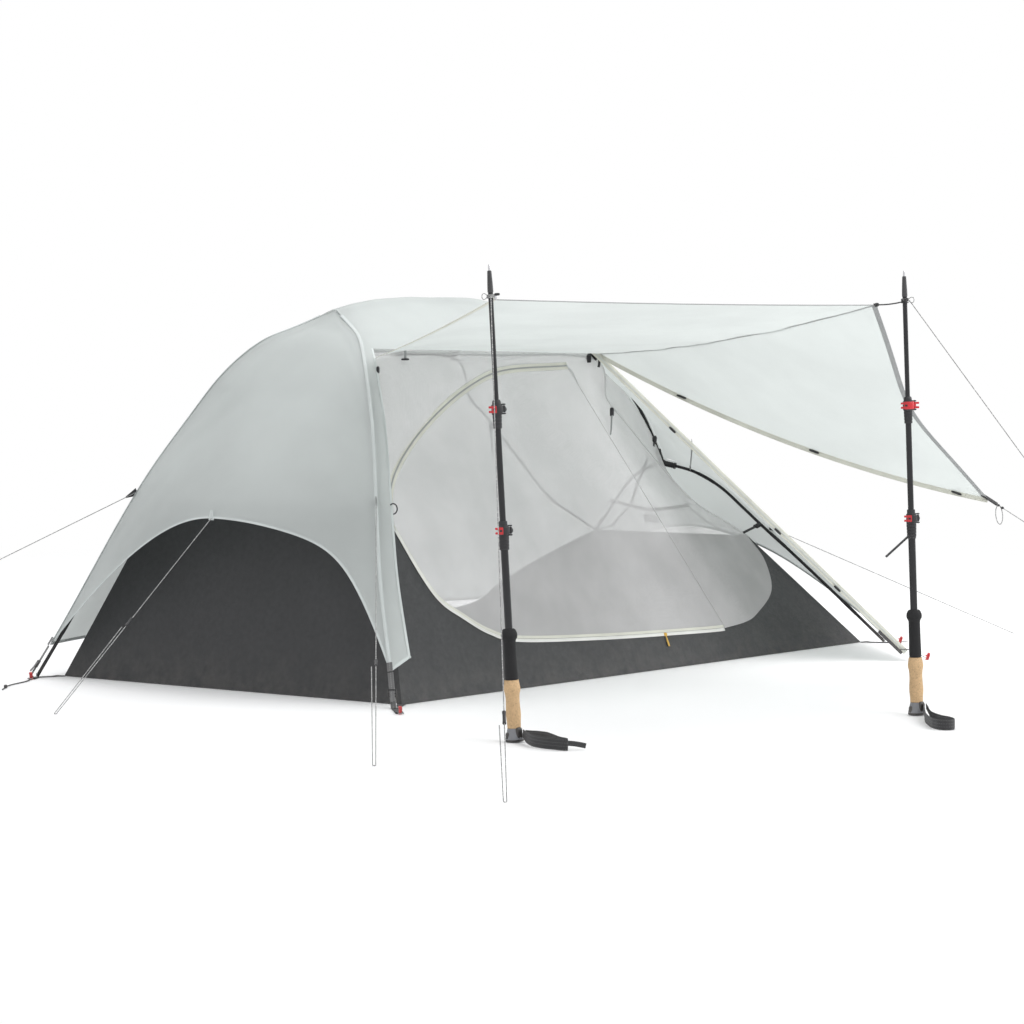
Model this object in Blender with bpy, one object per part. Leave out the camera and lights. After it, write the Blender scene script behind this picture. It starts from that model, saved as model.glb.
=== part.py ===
"""Backpacking tent on a Y-ended pole frame, its flysheet door held out as an awning.

X runs along the tent from the head end (-) to the foot end (+), the door side faces -Y and Z is up.
The origin is the middle of the underside of the floor. Lengths are metres and angles are degrees.
Places along the tent are given as t, the distance from the head edge of the floor.
"""

import math

import bmesh
import bpy
import numpy as np
from mathutils import Matrix, Vector

# Cloth and clearances
CLOTH = 0.0006
SEAM_INSET = 0.00045
CONTACT_GAP = 0.0004
RIDGE_SEAM_GAP = 0.0003

# Inner tent
FLOOR_LENGTH = 2.15
FLOOR_WIDTH = 1.16
HEAD_WALL_HEIGHT = 0.47
FOOT_WALL_HEIGHT = 0.313
FOOT_WALL_LEAN = 0.155
FOOT_WALL_TOP_WIDTH = 0.56
SILL_HEIGHT = 0.102
SILL_DROP = 0.017
CANOPY_DROP = 0.035
INNER_INSET_END = 0.036
INNER_INSET_SIDE = 0.012
WALL_FOOT = CLOTH + CONTACT_GAP

# Frame poles and hubs
POLE_RADIUS = 0.0045
HEAD_HUB_INSET = 0.440
HEAD_HUB_HEIGHT = 0.960
FOOT_HUB_INSET = 0.202
FOOT_HUB_HEIGHT = 0.528
RIDGE_HEAD_RISE = 13.0
RIDGE_HEAD_PULL = 0.270
RIDGE_FOOT_FALL = 62.7
RIDGE_FOOT_PULL = 0.637
HEAD_LEG_OUT_END = 0.066
HEAD_LEG_OUT_SIDE = 0.034
FOOT_LEG_OUT_END = 0.030
FOOT_LEG_OUT_SIDE = 0.062
BROW_FROM_HEAD = 1.250
BROW_SPAN = 0.520
BROW_END_DROP = 0.118
HUB_RADIUS = 0.0085
SOCKET_LENGTH = 0.034
SOCKET_START = 0.010
SOCKET_GAP = 0.0006

# Flysheet
FLY_LIFT = 0.012
HUB_LIFT = 0.006
HUB_LIFT_REACH = 0.050
FLY_CORNER_HEIGHT = 0.086
HEM_FULLNESS = 4.2
HEAD_ARCH_HEIGHT = 0.430
HEAD_ARCH_BULGE = 0.135
FOOT_ARCH_HEIGHT = 0.330
FOOT_ARCH_BULGE = 0.030
WING_HEM_RISE = 0.020
EAVE_HEIGHT = 0.860
STRIP_TOP_WIDTH = 0.040
STRIP_BOTTOM_WIDTH = 0.085
BACK_HEM_OUT = 0.190
WING_CORNER_T = 1.800
WING_CORNER_OUT = 0.400
WING_CORNER_HEIGHT = 0.030

# Awning and the trekking poles that hold it
POLE_1_T = -0.426
POLE_1_OUT = 0.672
POLE_1_LEAN_T = -0.035
POLE_1_LEAN_Y = 0.045
POLE_2_T = 0.575
POLE_2_OUT = 1.108
POLE_2_LEAN_T = -0.022
POLE_2_LEAN_Y = 0.030
LOOP_1_REACH = 0.030
LOOP_2_REACH = 0.072
LOOP_BELOW_TOP = 0.056
AWNING_TIP_T = 1.440
AWNING_TIP_OUT = 0.815
AWNING_TIP_HEIGHT = 0.476
AWNING_FOLD_SAG = 0.022
AWNING_EDGE_INSET = 0.085
AWNING_HEM_SAG = 0.045

# Trekking pole sections
GRIP_RADIUS = 0.0165
CORK_TOP = 0.137
FOAM_RADIUS = 0.0135
FOAM_TOP = 0.250
LOWER_SHAFT_RADIUS = 0.0085
MIDDLE_SHAFT_RADIUS = 0.0070
TIP_SHAFT_RADIUS = 0.0055
SHAFT_CLEARANCE = 0.0005
LOOP_WALL = 0.003
LOWER_SHAFT_TOP = 0.455
MIDDLE_SHAFT_FOOT = 0.280
MIDDLE_SHAFT_TOP = 0.722
TIP_SHAFT_FOOT = 0.520
FERRULE_RADIUS = 0.0059
FERRULE_LENGTH = 0.048
FERRULE_TOP = 1.038
LOOP_HEIGHT = FERRULE_TOP - LOOP_BELOW_TOP
STEEL_TIP = 0.014
LOCK_HEIGHT = 0.056
LOCK_RADIUS = 0.0122
LEVER_HEIGHT = 0.016
LEVER_THICKNESS = 0.0026
LEVER_SWEEP = 150.0
LEVER_BEARING = -52.6
KNUCKLE_RADIUS = 0.0030

# Guy lines and ground straps
CORD_RADIUS = 0.0011
STAKE_LINE_HEIGHT = 0.0045
GUY_GAP = 0.0009
HAIRPIN_WIDTH = 0.0066
TENSIONER_LENGTH = 0.030
TENSIONER_RADIUS = 0.0042
TENSIONER_GAP = 0.0005
HEAD_STAKE = (-0.664, -0.067)
FRONT_STAKE = (-0.942, -1.283)
BACK_STAKE = (-0.700, 1.030)
POLE_1_STAKE = (-1.201, -1.824)
POLE_2_STAKE = (1.000, -2.240)
AWNING_STAKE = (1.846, -2.002)
FOOT_STAKE = (2.650, -0.820)
GUY_TAB_HEIGHT = 0.490
FOOT_TAB_HEIGHT = 0.335
HEAD_TENSIONER_FROM_STAKE = 0.340
FRONT_TENSIONER_FROM_STAKE = 0.495
POLE_1_TENSIONER_FROM_STAKE = 0.200
STRAP_WIDTH = 0.020
STRAP_THICKNESS = 0.0016
STRAP_TAIL = 0.085

HALF_WIDTH = FLOOR_WIDTH / 2
HEAD_X = -FLOOR_LENGTH / 2
FRONT = -1
BACK = 1

# How the head legs bow between the hub and the foot: shares of the way out, sideways and up
HEAD_LEG_SHAPE = (
    (0.106, 0.165, 0.953),
    (0.190, 0.262, 0.922),
    (0.262, 0.330, 0.882),
    (0.344, 0.405, 0.820),
    (0.454, 0.508, 0.706),
    (0.592, 0.619, 0.566),
    (0.705, 0.708, 0.432),
    (0.812, 0.798, 0.288),
    (0.900, 0.890, 0.154),
)
FOOT_LEG_SHAPE = (
    (0.140, 0.150, 0.950),
    (0.253, 0.269, 0.865),
    (0.356, 0.370, 0.751),
    (0.452, 0.466, 0.638),
    (0.552, 0.568, 0.525),
    (0.776, 0.795, 0.260),
)
# Where the canopy's side seam lies between the brow pole and the foot wall: shares of length, width, height
SHOULDER_SHAPE = (
    (0.215, 0.95, 0.66),
    (0.470, 0.93, 0.45),
    (0.655, 0.96, 0.25),
    (0.860, 1.00, 0.08),
)
# The front wall's cut-out: distance from the head edge, or from the foot edge, and height
SILL_HEAD_SIDE = (
    (0.022, 0.433),
    (0.084, 0.307),
    (0.133, 0.236),
    (0.207, 0.191),
    (0.291, 0.146),
    (0.403, 0.120),
)
SILL_FOOT_SIDE = ((0.535, 0.093), (0.444, 0.110), (0.274, 0.165), (0.169, 0.245))
DOOR_ARC = (
    (0.032, 0.465),
    (0.149, 0.561),
    (0.257, 0.634),
    (0.404, 0.712),
    (0.565, 0.768),
    (0.716, 0.803),
)
DOOR_TOP_BELOW_EAVE = 0.030
HINGE_FOOT_FROM_FOOT = 0.655
HINGE_TOP_FROM_HEAD = 1.150


def clear_scene():
    for item in list(bpy.data.objects):
        bpy.data.objects.remove(item, do_unlink=True)


def at(t, y, z):
    """A point from its distance along the tent, its side and its height."""
    return Vector((HEAD_X + t, y, z))


MATERIALS = {}


def material(name, colour, roughness, metallic=0.0):
    if name not in MATERIALS:
        made = bpy.data.materials.new(name)
        made.use_nodes = True
        shader = made.node_tree.nodes["Principled BSDF"]
        shader.inputs["Base Color"].default_value = (*colour, 1.0)
        shader.inputs["Roughness"].default_value = roughness
        shader.inputs["Metallic"].default_value = metallic
        MATERIALS[name] = made
    return MATERIALS[name]


def fly_cloth():
    return material("fly_cloth", (0.72, 0.77, 0.76), 0.55)


def black_cloth():
    return material("black_cloth", (0.035, 0.036, 0.038), 0.62)


def mesh_cloth():
    return material("mesh_cloth", (0.78, 0.78, 0.78), 0.70)


def pole_alloy():
    return material("pole_alloy", (0.030, 0.031, 0.033), 0.35, 0.6)


def black_plastic():
    return material("black_plastic", (0.022, 0.022, 0.024), 0.45)


def red_plastic():
    return material("red_plastic", (0.55, 0.03, 0.04), 0.38)


def webbing():
    return material("webbing", (0.040, 0.040, 0.042), 0.75)


def guy_cord():
    return material("guy_cord", (0.45, 0.45, 0.44), 0.7)


def cork():
    return material("cork", (0.56, 0.38, 0.21), 0.8)


def foam():
    return material("foam", (0.020, 0.020, 0.020), 0.85)


def add_object(name, mesh, surface):
    made = bpy.data.objects.new(name, mesh)
    mesh.materials.clear()
    mesh.materials.append(surface)
    bpy.context.scene.collection.objects.link(made)
    return made


def mesh_from(points, faces, name):
    mesh = bpy.data.meshes.new(name)
    mesh.from_pydata([tuple(p) for p in points], [], faces)
    shape = bmesh.new()
    shape.from_mesh(mesh)
    bmesh.ops.remove_doubles(shape, verts=shape.verts, dist=1e-6)
    bmesh.ops.recalc_face_normals(shape, faces=shape.faces)
    shape.to_mesh(mesh)
    shape.free()
    return mesh


class Route:
    """A smooth curve through points, read by the share of its length or by height."""

    def __init__(self, points, smooth=True, steps=24):
        self.samples = self._smooth(points, steps) if smooth else [Vector(p) for p in points]
        lengths = [(b - a).length for a, b in zip(self.samples, self.samples[1:])]
        self.marks = np.concatenate([[0.0], np.cumsum(lengths)])
        self.length = float(self.marks[-1])

    @staticmethod
    def _smooth(points, steps):
        given = [Vector(p) for p in points]
        ends = [given[0] * 2 - given[1], *given, given[-1] * 2 - given[-2]]
        out = []
        for a, b, c, d in zip(ends, ends[1:], ends[2:], ends[3:]):
            ta = 0.0
            tb = ta + math.sqrt((b - a).length)
            tc = tb + math.sqrt((c - b).length)
            td = tc + math.sqrt((d - c).length)
            for i in range(steps):
                t = tb + (tc - tb) * i / steps
                ab = a.lerp(b, (t - ta) / (tb - ta))
                bc = b.lerp(c, (t - tb) / (tc - tb))
                cd = c.lerp(d, (t - tc) / (td - tc))
                abc = ab.lerp(bc, (t - ta) / (tc - ta))
                bcd = bc.lerp(cd, (t - tb) / (td - tb))
                out.append(abc.lerp(bcd, (t - tb) / (tc - tb)))
        out.append(given[-1])
        return out

    def point(self, share):
        wanted = min(max(share, 0.0), 1.0) * self.length
        i = min(int(np.searchsorted(self.marks, wanted, side="right")) - 1, len(self.samples) - 2)
        step = self.marks[i + 1] - self.marks[i]
        return self.samples[i].lerp(self.samples[i + 1], (wanted - self.marks[i]) / step)

    def share_at_height(self, height):
        for i, (a, b) in enumerate(zip(self.samples, self.samples[1:])):
            if (a.z - height) * (b.z - height) <= 0 and a.z != b.z:
                mark = self.marks[i] + (self.marks[i + 1] - self.marks[i]) * (height - a.z) / (b.z - a.z)
                return float(mark / self.length)
        raise ValueError(f"the curve never reaches {height}")

    def moved(self, shift):
        return Route([p + shift for p in self.samples], smooth=False)

    def mirrored(self):
        return Route([Vector((p.x, -p.y, p.z)) for p in self.samples], smooth=False)


def spread(start, end, count):
    return [start + (end - start) * i / (count - 1) for i in range(count - 1)] + [end]


def drawn_in(mesh, inset):
    """Moves the sheet's outer edge inwards along its own surface, to leave room for the neighbouring seam."""
    shape = bmesh.new()
    shape.from_mesh(mesh)
    shape.normal_update()
    moves = {}
    for edge in shape.edges:
        if len(edge.link_faces) != 1:
            continue
        face = edge.link_faces[0]
        along = (edge.verts[1].co - edge.verts[0].co).normalized()
        inward = face.normal.cross(along)
        if inward.dot(face.calc_center_median() - edge.verts[0].co) < 0:
            inward = -inward
        for corner in edge.verts:
            moves.setdefault(corner, []).append(inward)
    for corner, ways in moves.items():
        total = ways[0] + ways[-1]
        corner.co += total * inset / max(1 + ways[0].dot(ways[-1]), 0.5)
    shape.to_mesh(mesh)
    shape.free()


def cloth(name, grids, surface, inset=SEAM_INSET, thickness=CLOTH):
    """A sheet of cloth through one grid of points, or several that share an edge, and its thickness."""
    points = []
    faces = []
    for grid in grids:
        first = len(points)
        width = len(grid[0])
        points += [p for row in grid for p in row]
        for i in range(len(grid) - 1):
            for j in range(width - 1):
                corner = first + i * width + j
                faces.append((corner, corner + 1, corner + width + 1, corner + width))
    mesh = mesh_from(points, faces, name)
    drawn_in(mesh, inset)
    made = add_object(name, mesh, surface)
    solid = made.modifiers.new("thickness", "SOLIDIFY")
    solid.thickness = thickness
    solid.offset = 0.0
    solid.use_even_offset = False
    return made


def tube(name, points, radius, surface, resolution=2):
    """A round rod along a list of points."""
    curve = bpy.data.curves.new(name, "CURVE")
    curve.dimensions = "3D"
    curve.bevel_depth = radius
    curve.bevel_resolution = resolution
    curve.use_fill_caps = True
    line = curve.splines.new("POLY")
    line.points.add(len(points) - 1)
    for mark, p in zip(line.points, points):
        mark.co = (*p, 1.0)
    curve.materials.append(surface)
    made = bpy.data.objects.new(name, curve)
    bpy.context.scene.collection.objects.link(made)
    return made


def lathe(profile, sides, closed, phase=0.0):
    """Points and faces of a profile of (radius, height) turned about Z; a closed one is a ring."""
    count = len(profile)
    points = []
    for radius, height in profile:
        for i in range(sides):
            angle = phase + math.tau * i / sides
            points.append(Vector((radius * math.cos(angle), radius * math.sin(angle), height)))
    faces = []
    for i in range(count if closed else count - 1):
        a = i * sides
        b = (i + 1) % count * sides
        for j in range(sides):
            k = (j + 1) % sides
            faces.append((a + j, a + k, b + k, b + j))
    if not closed:
        faces.append(tuple(reversed(range(sides))))
        faces.append(tuple(range((count - 1) * sides, count * sides)))
    return points, faces


def box_mesh(low, high, name="block"):
    ends = list(zip(low, high))
    points = [Vector((x, y, z)) for x in ends[0] for y in ends[1] for z in ends[2]]
    faces = [(0, 1, 3, 2), (4, 6, 7, 5), (0, 4, 5, 1), (2, 3, 7, 6), (0, 2, 6, 4), (1, 5, 7, 3)]
    return mesh_from(points, faces, name)


def cylinder_between(start, end, radius, sides=10):
    """A mesh of a round rod from one point to another."""
    way = end - start
    turn = way.to_track_quat("Z", "X").to_matrix().to_4x4()
    points, faces = lathe([(radius, 0.0), (radius, way.length)], sides, closed=False)
    place = Matrix.Translation(start) @ turn
    return mesh_from([place @ p for p in points], faces, "rod")


def combined(name, first, others, surface, operation="UNION"):
    """One solid from a mesh and others joined to it, or cut from it."""
    made = add_object(name, first, surface)
    for other in others:
        tool = add_object(name + "_tool", other, surface)
        change = made.modifiers.new("join", "BOOLEAN")
        change.operation = operation
        change.object = tool
        change.solver = "EXACT"
        seen = made.evaluated_get(bpy.context.evaluated_depsgraph_get())
        result = bpy.data.meshes.new_from_object(seen)
        made.modifiers.clear()
        made.data = result
        bpy.data.objects.remove(tool, do_unlink=True)
    made.data.materials.clear()
    made.data.materials.append(surface)
    return made


def smooth_sides(made):
    made.data.shade_smooth()
    made.data.set_sharp_from_angle(angle=math.radians(35))
    return made


# Frame routes


def head_hub():
    return at(HEAD_HUB_INSET, 0, HEAD_HUB_HEIGHT)


def foot_hub():
    return at(FLOOR_LENGTH - FOOT_HUB_INSET, 0, FOOT_HUB_HEIGHT)


def leg_route(hub, foot, shape):
    """From the hub to the foot, through the shares that give the leg its bow."""
    points = [hub]
    for out, side, up in shape:
        points.append(
            Vector(
                (
                    hub.x + (foot.x - hub.x) * out,
                    foot.y * side,
                    foot.z + (hub.z - foot.z) * up,
                )
            )
        )
    tilt = (foot - points[-1]).normalized().z
    rim = POLE_RADIUS * math.sqrt(1 - tilt * tilt)
    points.append(foot + Vector((0, 0, STRAP_THICKNESS + CONTACT_GAP + rim)))
    return Route(points)


def head_leg(side):
    foot = at(-HEAD_LEG_OUT_END, side * (HALF_WIDTH + HEAD_LEG_OUT_SIDE), 0)
    return leg_route(head_hub(), foot, HEAD_LEG_SHAPE)


def foot_leg(side):
    foot = at(FLOOR_LENGTH + FOOT_LEG_OUT_END, side * (HALF_WIDTH + FOOT_LEG_OUT_SIDE), 0)
    return leg_route(foot_hub(), foot, FOOT_LEG_SHAPE)


def ridge_route():
    """A Bezier curve from hub to hub, leaving each along its socket."""
    rise = math.radians(RIDGE_HEAD_RISE)
    fall = math.radians(RIDGE_FOOT_FALL)
    a = head_hub()
    d = foot_hub()
    b = a + Vector((math.cos(rise), 0, math.sin(rise))) * RIDGE_HEAD_PULL
    c = d - Vector((math.cos(fall), 0, -math.sin(fall))) * RIDGE_FOOT_PULL
    points = []
    for s in spread(0.0, 1.0, 61):
        points.append(a * (1 - s) ** 3 + b * 3 * s * (1 - s) ** 2 + c * 3 * s * s * (1 - s) + d * s**3)
    return Route(points, smooth=False)


def ridge_height(t):
    """Height of the ridge pole's centre at a distance along the tent."""
    x = HEAD_X + t
    samples = ridge_route().samples
    return float(np.interp(x, [p.x for p in samples], [p.z for p in samples]))


def brow_route():
    """A shallow bow that crosses just under the ridge pole."""
    centre = ridge_height(BROW_FROM_HEAD) - 2 * POLE_RADIUS - CONTACT_GAP
    half = BROW_SPAN / 2
    points = []
    for s in spread(-1.0, 1.0, 13):
        points.append(at(BROW_FROM_HEAD, half * s, centre - BROW_END_DROP * s * s))
    return Route(points, smooth=False)


def socket_way(route, at_start=True):
    """The direction in which a pole leaves its hub."""
    if at_start:
        return (route.point(0.04) - route.point(0.0)).normalized()
    return (route.point(0.96) - route.point(1.0)).normalized()


def pole_points(route, count, start_socket, end_socket):
    """The pole's own points: straight inside each socket, then along its bow."""
    points = []
    first = 0.0
    last = 1.0
    straight = SOCKET_START + SOCKET_LENGTH + 0.004
    if start_socket:
        way = socket_way(route)
        points += [route.point(0) + way * (SOCKET_START + CONTACT_GAP), route.point(0) + way * straight]
        first = (straight + 0.030) / route.length
    if end_socket:
        last = 1 - (straight + 0.030) / route.length
    points += [route.point(s) for s in spread(first, last, count)]
    if end_socket:
        way = socket_way(route, at_start=False)
        points += [route.point(1) + way * straight, route.point(1) + way * (SOCKET_START + CONTACT_GAP)]
    return points


def build_frame():
    tube("ridge_pole", pole_points(ridge_route(), 22, True, True), POLE_RADIUS, pole_alloy())
    tube("brow_pole", brow_route().samples, POLE_RADIUS, pole_alloy())
    for side, name in ((FRONT, "front"), (BACK, "back")):
        tube(f"head_leg_{name}", pole_points(head_leg(side), 20, True, False), POLE_RADIUS, pole_alloy())
        tube(f"foot_leg_{name}", pole_points(foot_leg(side), 14, True, False), POLE_RADIUS, pole_alloy())
    ways = [socket_way(ridge_route()), socket_way(head_leg(FRONT)), socket_way(head_leg(BACK))]
    build_hub("head_hub", head_hub(), ways)
    ways = [socket_way(ridge_route(), False), socket_way(foot_leg(FRONT)), socket_way(foot_leg(BACK))]
    build_hub("foot_hub", foot_hub(), ways)


def build_hub(name, centre, ways):
    """Three sleeves that meet in a round body, each bored for its pole."""
    reach = SOCKET_START + SOCKET_LENGTH
    ball = bmesh.new()
    bmesh.ops.create_icosphere(ball, subdivisions=2, radius=HUB_RADIUS * 1.02)
    body = bpy.data.meshes.new(name)
    ball.to_mesh(body)
    ball.free()
    body.transform(Matrix.Translation(centre))
    sleeves = [cylinder_between(centre, centre + way * reach, HUB_RADIUS * 0.9) for way in ways]
    made = combined(name, body, sleeves, black_plastic())
    bore = POLE_RADIUS + SOCKET_GAP
    deep = reach + 0.01
    cuts = [cylinder_between(centre + way * SOCKET_START, centre + way * deep, bore) for way in ways]
    whole = made.data
    bpy.data.objects.remove(made, do_unlink=True)
    return combined(name, whole, cuts, black_plastic(), "DIFFERENCE")


# Inner tent


def inner_leg(side):
    """The line just inside a head leg where the inner tent's end seam hangs."""
    return head_leg(side).moved(Vector((INNER_INSET_END, -side * INNER_INSET_SIDE, 0)))


EAVE_STATIONS = 3
SEAM_STATIONS = 6
CROWN_STATIONS = 6


def seam_shares(route, low, high):
    """Shares of a head leg from a lower height to the eave."""
    return spread(route.share_at_height(low), route.share_at_height(high), SEAM_STATIONS)


def inner_eave_height():
    return EAVE_HEIGHT - CANOPY_DROP


def head_corner(side):
    """Top corner of the head wall, on the inner tent's end seam."""
    route = inner_leg(side)
    return route.point(route.share_at_height(HEAD_WALL_HEIGHT))


def head_wall_lean():
    """How far the head wall's top corners stand in from the floor's head edge."""
    return head_corner(FRONT).x - HEAD_X


def end_seam(side):
    """Points up the inner tent's end seam, from the head wall's corner to the eave."""
    route = inner_leg(side)
    return [route.point(s) for s in seam_shares(route, HEAD_WALL_HEIGHT, inner_eave_height())]


def crown_seam(side):
    """Points from the eave over to the middle of the head arch."""
    route = inner_leg(side)
    start = route.share_at_height(inner_eave_height())
    points = [route.point(s) for s in spread(start, 0.0, CROWN_STATIONS)]
    top = points[-1]
    points[-1] = Vector((top.x, 0, top.z - CANOPY_DROP))
    for i, p in enumerate(points[1:-1], start=1):
        points[i] = Vector((p.x, p.y, p.z - CANOPY_DROP * i / (CROWN_STATIONS - 1)))
    return points


def foot_corner(side):
    """Top corner of the foot wall."""
    return at(FLOOR_LENGTH - FOOT_WALL_LEAN, side * FOOT_WALL_TOP_WIDTH / 2, FOOT_WALL_HEIGHT)


def brow_corner(side):
    """Where the canopy's side seam hangs from the end of the brow pole."""
    end = brow_route().point(1.0)
    return Vector((end.x, side * (end.y - INNER_INSET_SIDE), end.z - CANOPY_DROP))


def shoulder_seam(side):
    """The canopy's side seam, from the head arch along the eave and down to the foot wall."""
    start = end_seam(side)[-1]
    brow = brow_corner(side)
    foot = foot_corner(side)
    points = [start.lerp(brow, s) for s in spread(0.0, 1.0, EAVE_STATIONS)]
    for along, width, height in SHOULDER_SHAPE:
        points.append(
            Vector(
                (
                    brow.x + (foot.x - brow.x) * along,
                    brow.y * width + (foot.y - brow.y * width) * along,
                    foot.z + (brow.z - foot.z) * height,
                )
            )
        )
    points.append(foot)
    return points


def side_lean(side):
    """How far the inner tent's side leans in for each metre of height, by distance along the tent."""
    marks = [head_corner(side), *shoulder_seam(side)]
    along = [p.x - HEAD_X for p in marks]
    lean = [(HALF_WIDTH - abs(p.y)) / p.z for p in marks]
    return along, lean


def side_point(side, t, z):
    """A point of the inner tent's side surface."""
    along, lean = side_lean(side)
    return at(t, side * (HALF_WIDTH - z * float(np.interp(t, along, lean))), z)


def sill_point(side, share):
    """Along the straight part of the sill, which falls a little towards the foot."""
    start = head_wall_lean() + SILL_HEAD_SIDE[-1][0] + 0.337
    end = FLOOR_LENGTH - HINGE_FOOT_FROM_FOOT - 0.245
    return side_point(side, start + (end - start) * share, SILL_HEIGHT - SILL_DROP * share * 0.65)


def front_wall_top():
    """The front wall's top edge: down round the door's zip, along the sill and up to the foot corner."""
    points = [head_corner(FRONT)]
    points += [side_point(FRONT, head_wall_lean() + d, z) for d, z in SILL_HEAD_SIDE]
    points += [sill_point(FRONT, 0.0), sill_point(FRONT, 1.0)]
    points.append(side_point(FRONT, FLOOR_LENGTH - HINGE_FOOT_FROM_FOOT, SILL_HEIGHT - SILL_DROP))
    points += [side_point(FRONT, FLOOR_LENGTH - d, z) for d, z in SILL_FOOT_SIDE]
    points.append(foot_corner(FRONT))
    return points


SLIDER_SHARE = 0.80
SLIDER_DEPTH = 0.0044
SLIDER_HEIGHT = 0.010
BACK_SILL_HEAD = 0.620
BACK_SILL_FOOT = 0.513
BACK_SILL_HEIGHT = 0.084


def back_wall_top():
    """The back wall's top edge: a dip from each corner to a low sill, one point per canopy station."""
    first = head_corner(BACK)
    last = foot_corner(BACK)
    low_head = BACK_SILL_HEAD
    low_foot = FLOOR_LENGTH - BACK_SILL_FOOT
    points = [first]
    for share in (0.5, 1.0):
        t = first.x - HEAD_X + (low_head - first.x + HEAD_X) * share
        points.append(side_point(BACK, t, first.z + (BACK_SILL_HEIGHT - first.z) * share))
    points.append(side_point(BACK, (low_head + low_foot) / 2, BACK_SILL_HEIGHT))
    points.append(side_point(BACK, low_foot, BACK_SILL_HEIGHT))
    for share in (0.33, 0.67):
        t = low_foot + (last.x - HEAD_X - low_foot) * share
        points.append(side_point(BACK, t, BACK_SILL_HEIGHT + (last.z - BACK_SILL_HEIGHT) * share))
    points.append(last)
    return points


def hinge_line():
    """The straight line that the mesh door swings about, top and bottom."""
    top = side_point(FRONT, HINGE_TOP_FROM_HEAD, inner_eave_height() - DOOR_TOP_BELOW_EAVE)
    bottom = side_point(FRONT, FLOOR_LENGTH - HINGE_FOOT_FROM_FOOT, SILL_HEIGHT - SILL_DROP)
    return top, bottom


def door_arc():
    """The zipped edge from the head corner up and over to the top of the hinge line."""
    top, _ = hinge_line()
    points = [side_point(FRONT, head_wall_lean() + d, z) for d, z in DOOR_ARC]
    return Route([*points, top])


def wall_rows(base, top, steps=2):
    return [[a.lerp(b, s) for a, b in zip(base, top)] for s in spread(0.0, 1.0, steps)]


def base_under(top):
    """Points along the floor's edge, as many as the top edge has and in the same shares."""
    side = math.copysign(1.0, top[1].y)
    first = top[0].x
    length = top[-1].x - first
    out = []
    for p in top:
        out.append(at(FLOOR_LENGTH * (p.x - first) / length, side * HALF_WIDTH, WALL_FOOT))
    return out


def build_inner():
    floor = []
    for t in (0.0, FLOOR_LENGTH):
        floor.append([at(t, y, CLOTH / 2) for y in (-HALF_WIDTH, HALF_WIDTH)])
    cloth("inner_floor", [floor], black_cloth())
    front_top = front_wall_top()
    cloth("wall_front", [wall_rows(base_under(front_top), front_top)], black_cloth())
    back_top = back_wall_top()
    cloth("wall_back", [wall_rows(base_under(back_top), back_top)], black_cloth())
    for name, t, corner in (("wall_head", 0.0, head_corner), ("wall_foot", FLOOR_LENGTH, foot_corner)):
        low = [at(t, -HALF_WIDTH, WALL_FOOT), at(t, HALF_WIDTH, WALL_FOOT)]
        cloth(name, [[low, [corner(FRONT), corner(BACK)]]], black_cloth())
    build_mesh_head()
    cloth("mesh_canopy", [canopy_rows()], mesh_cloth())
    build_mesh_back()
    outer, inner = surround_loops()
    middle = [a.lerp(b, 0.5) for a, b in zip(outer, inner)]
    cloth("mesh_front", [[outer, middle, inner]], mesh_cloth())
    build_mesh_door()


def arch_rows(left, right, columns):
    """Rows across an arch between two matching seams."""
    return [[a.lerp(b, s) for s in spread(0.0, 1.0, columns)] for a, b in zip(left, right)]


def build_mesh_head():
    left = [*end_seam(FRONT), *crown_seam(FRONT)[1:]]
    right = [*end_seam(BACK), *crown_seam(BACK)[1:]]
    cloth("mesh_head", [arch_rows(left, right, 5)], mesh_cloth())


def canopy_rows():
    """Rows across the canopy from the front shoulder seam, over under the ridge, to the back one."""
    fronts = shoulder_seam(FRONT)
    crown = crown_seam(FRONT)
    rows = []
    first = [*crown, *[Vector((p.x, -p.y, p.z)) for p in reversed(crown[:-1])]]
    rows.append(first)
    across = len(first)
    for edge in fronts[1:]:
        t = edge.x - HEAD_X
        middle = max(ridge_height(t) - POLE_RADIUS - CANOPY_DROP, edge.z)
        if edge is fronts[-1]:
            middle = edge.z
        row = []
        for s in spread(-1.0, 1.0, across):
            height = edge.z + (middle - edge.z) * (1 - abs(s) ** 1.15)
            row.append(Vector((edge.x, abs(edge.y) * s, height)))
        rows.append(row)
    return rows


def build_mesh_back():
    top = shoulder_seam(BACK)
    bottom = back_wall_top()
    seam = end_seam(BACK)
    rows = []
    for i, s in enumerate(spread(0.0, 1.0, SEAM_STATIONS)):
        row = [b.lerp(a, s) for a, b in zip(top, bottom)]
        row[0] = seam[i]
        rows.append(row)
    cloth("mesh_back", [rows], mesh_cloth())


def surround_loops():
    """The fixed mesh round the door: its outer edge and the matching points of the door's edge."""
    top = front_wall_top()
    climb = [p for p in reversed(top[top_index_of_hinge() : -1])]
    outer = [*end_seam(FRONT), *shoulder_seam(FRONT)[1:], *climb]
    arc_count = SEAM_STATIONS + EAVE_STATIONS - 1
    hinge_top, hinge_bottom = hinge_line()
    arc = door_arc()
    inner = [arc.point(s) for s in spread(0.0, 1.0, arc_count)]
    rest = len(outer) - arc_count
    inner += [hinge_top.lerp(hinge_bottom, (i + 1) / rest) for i in range(rest)]
    return outer, inner


def top_index_of_hinge():
    return 1 + len(SILL_HEAD_SIDE) + 2


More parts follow.
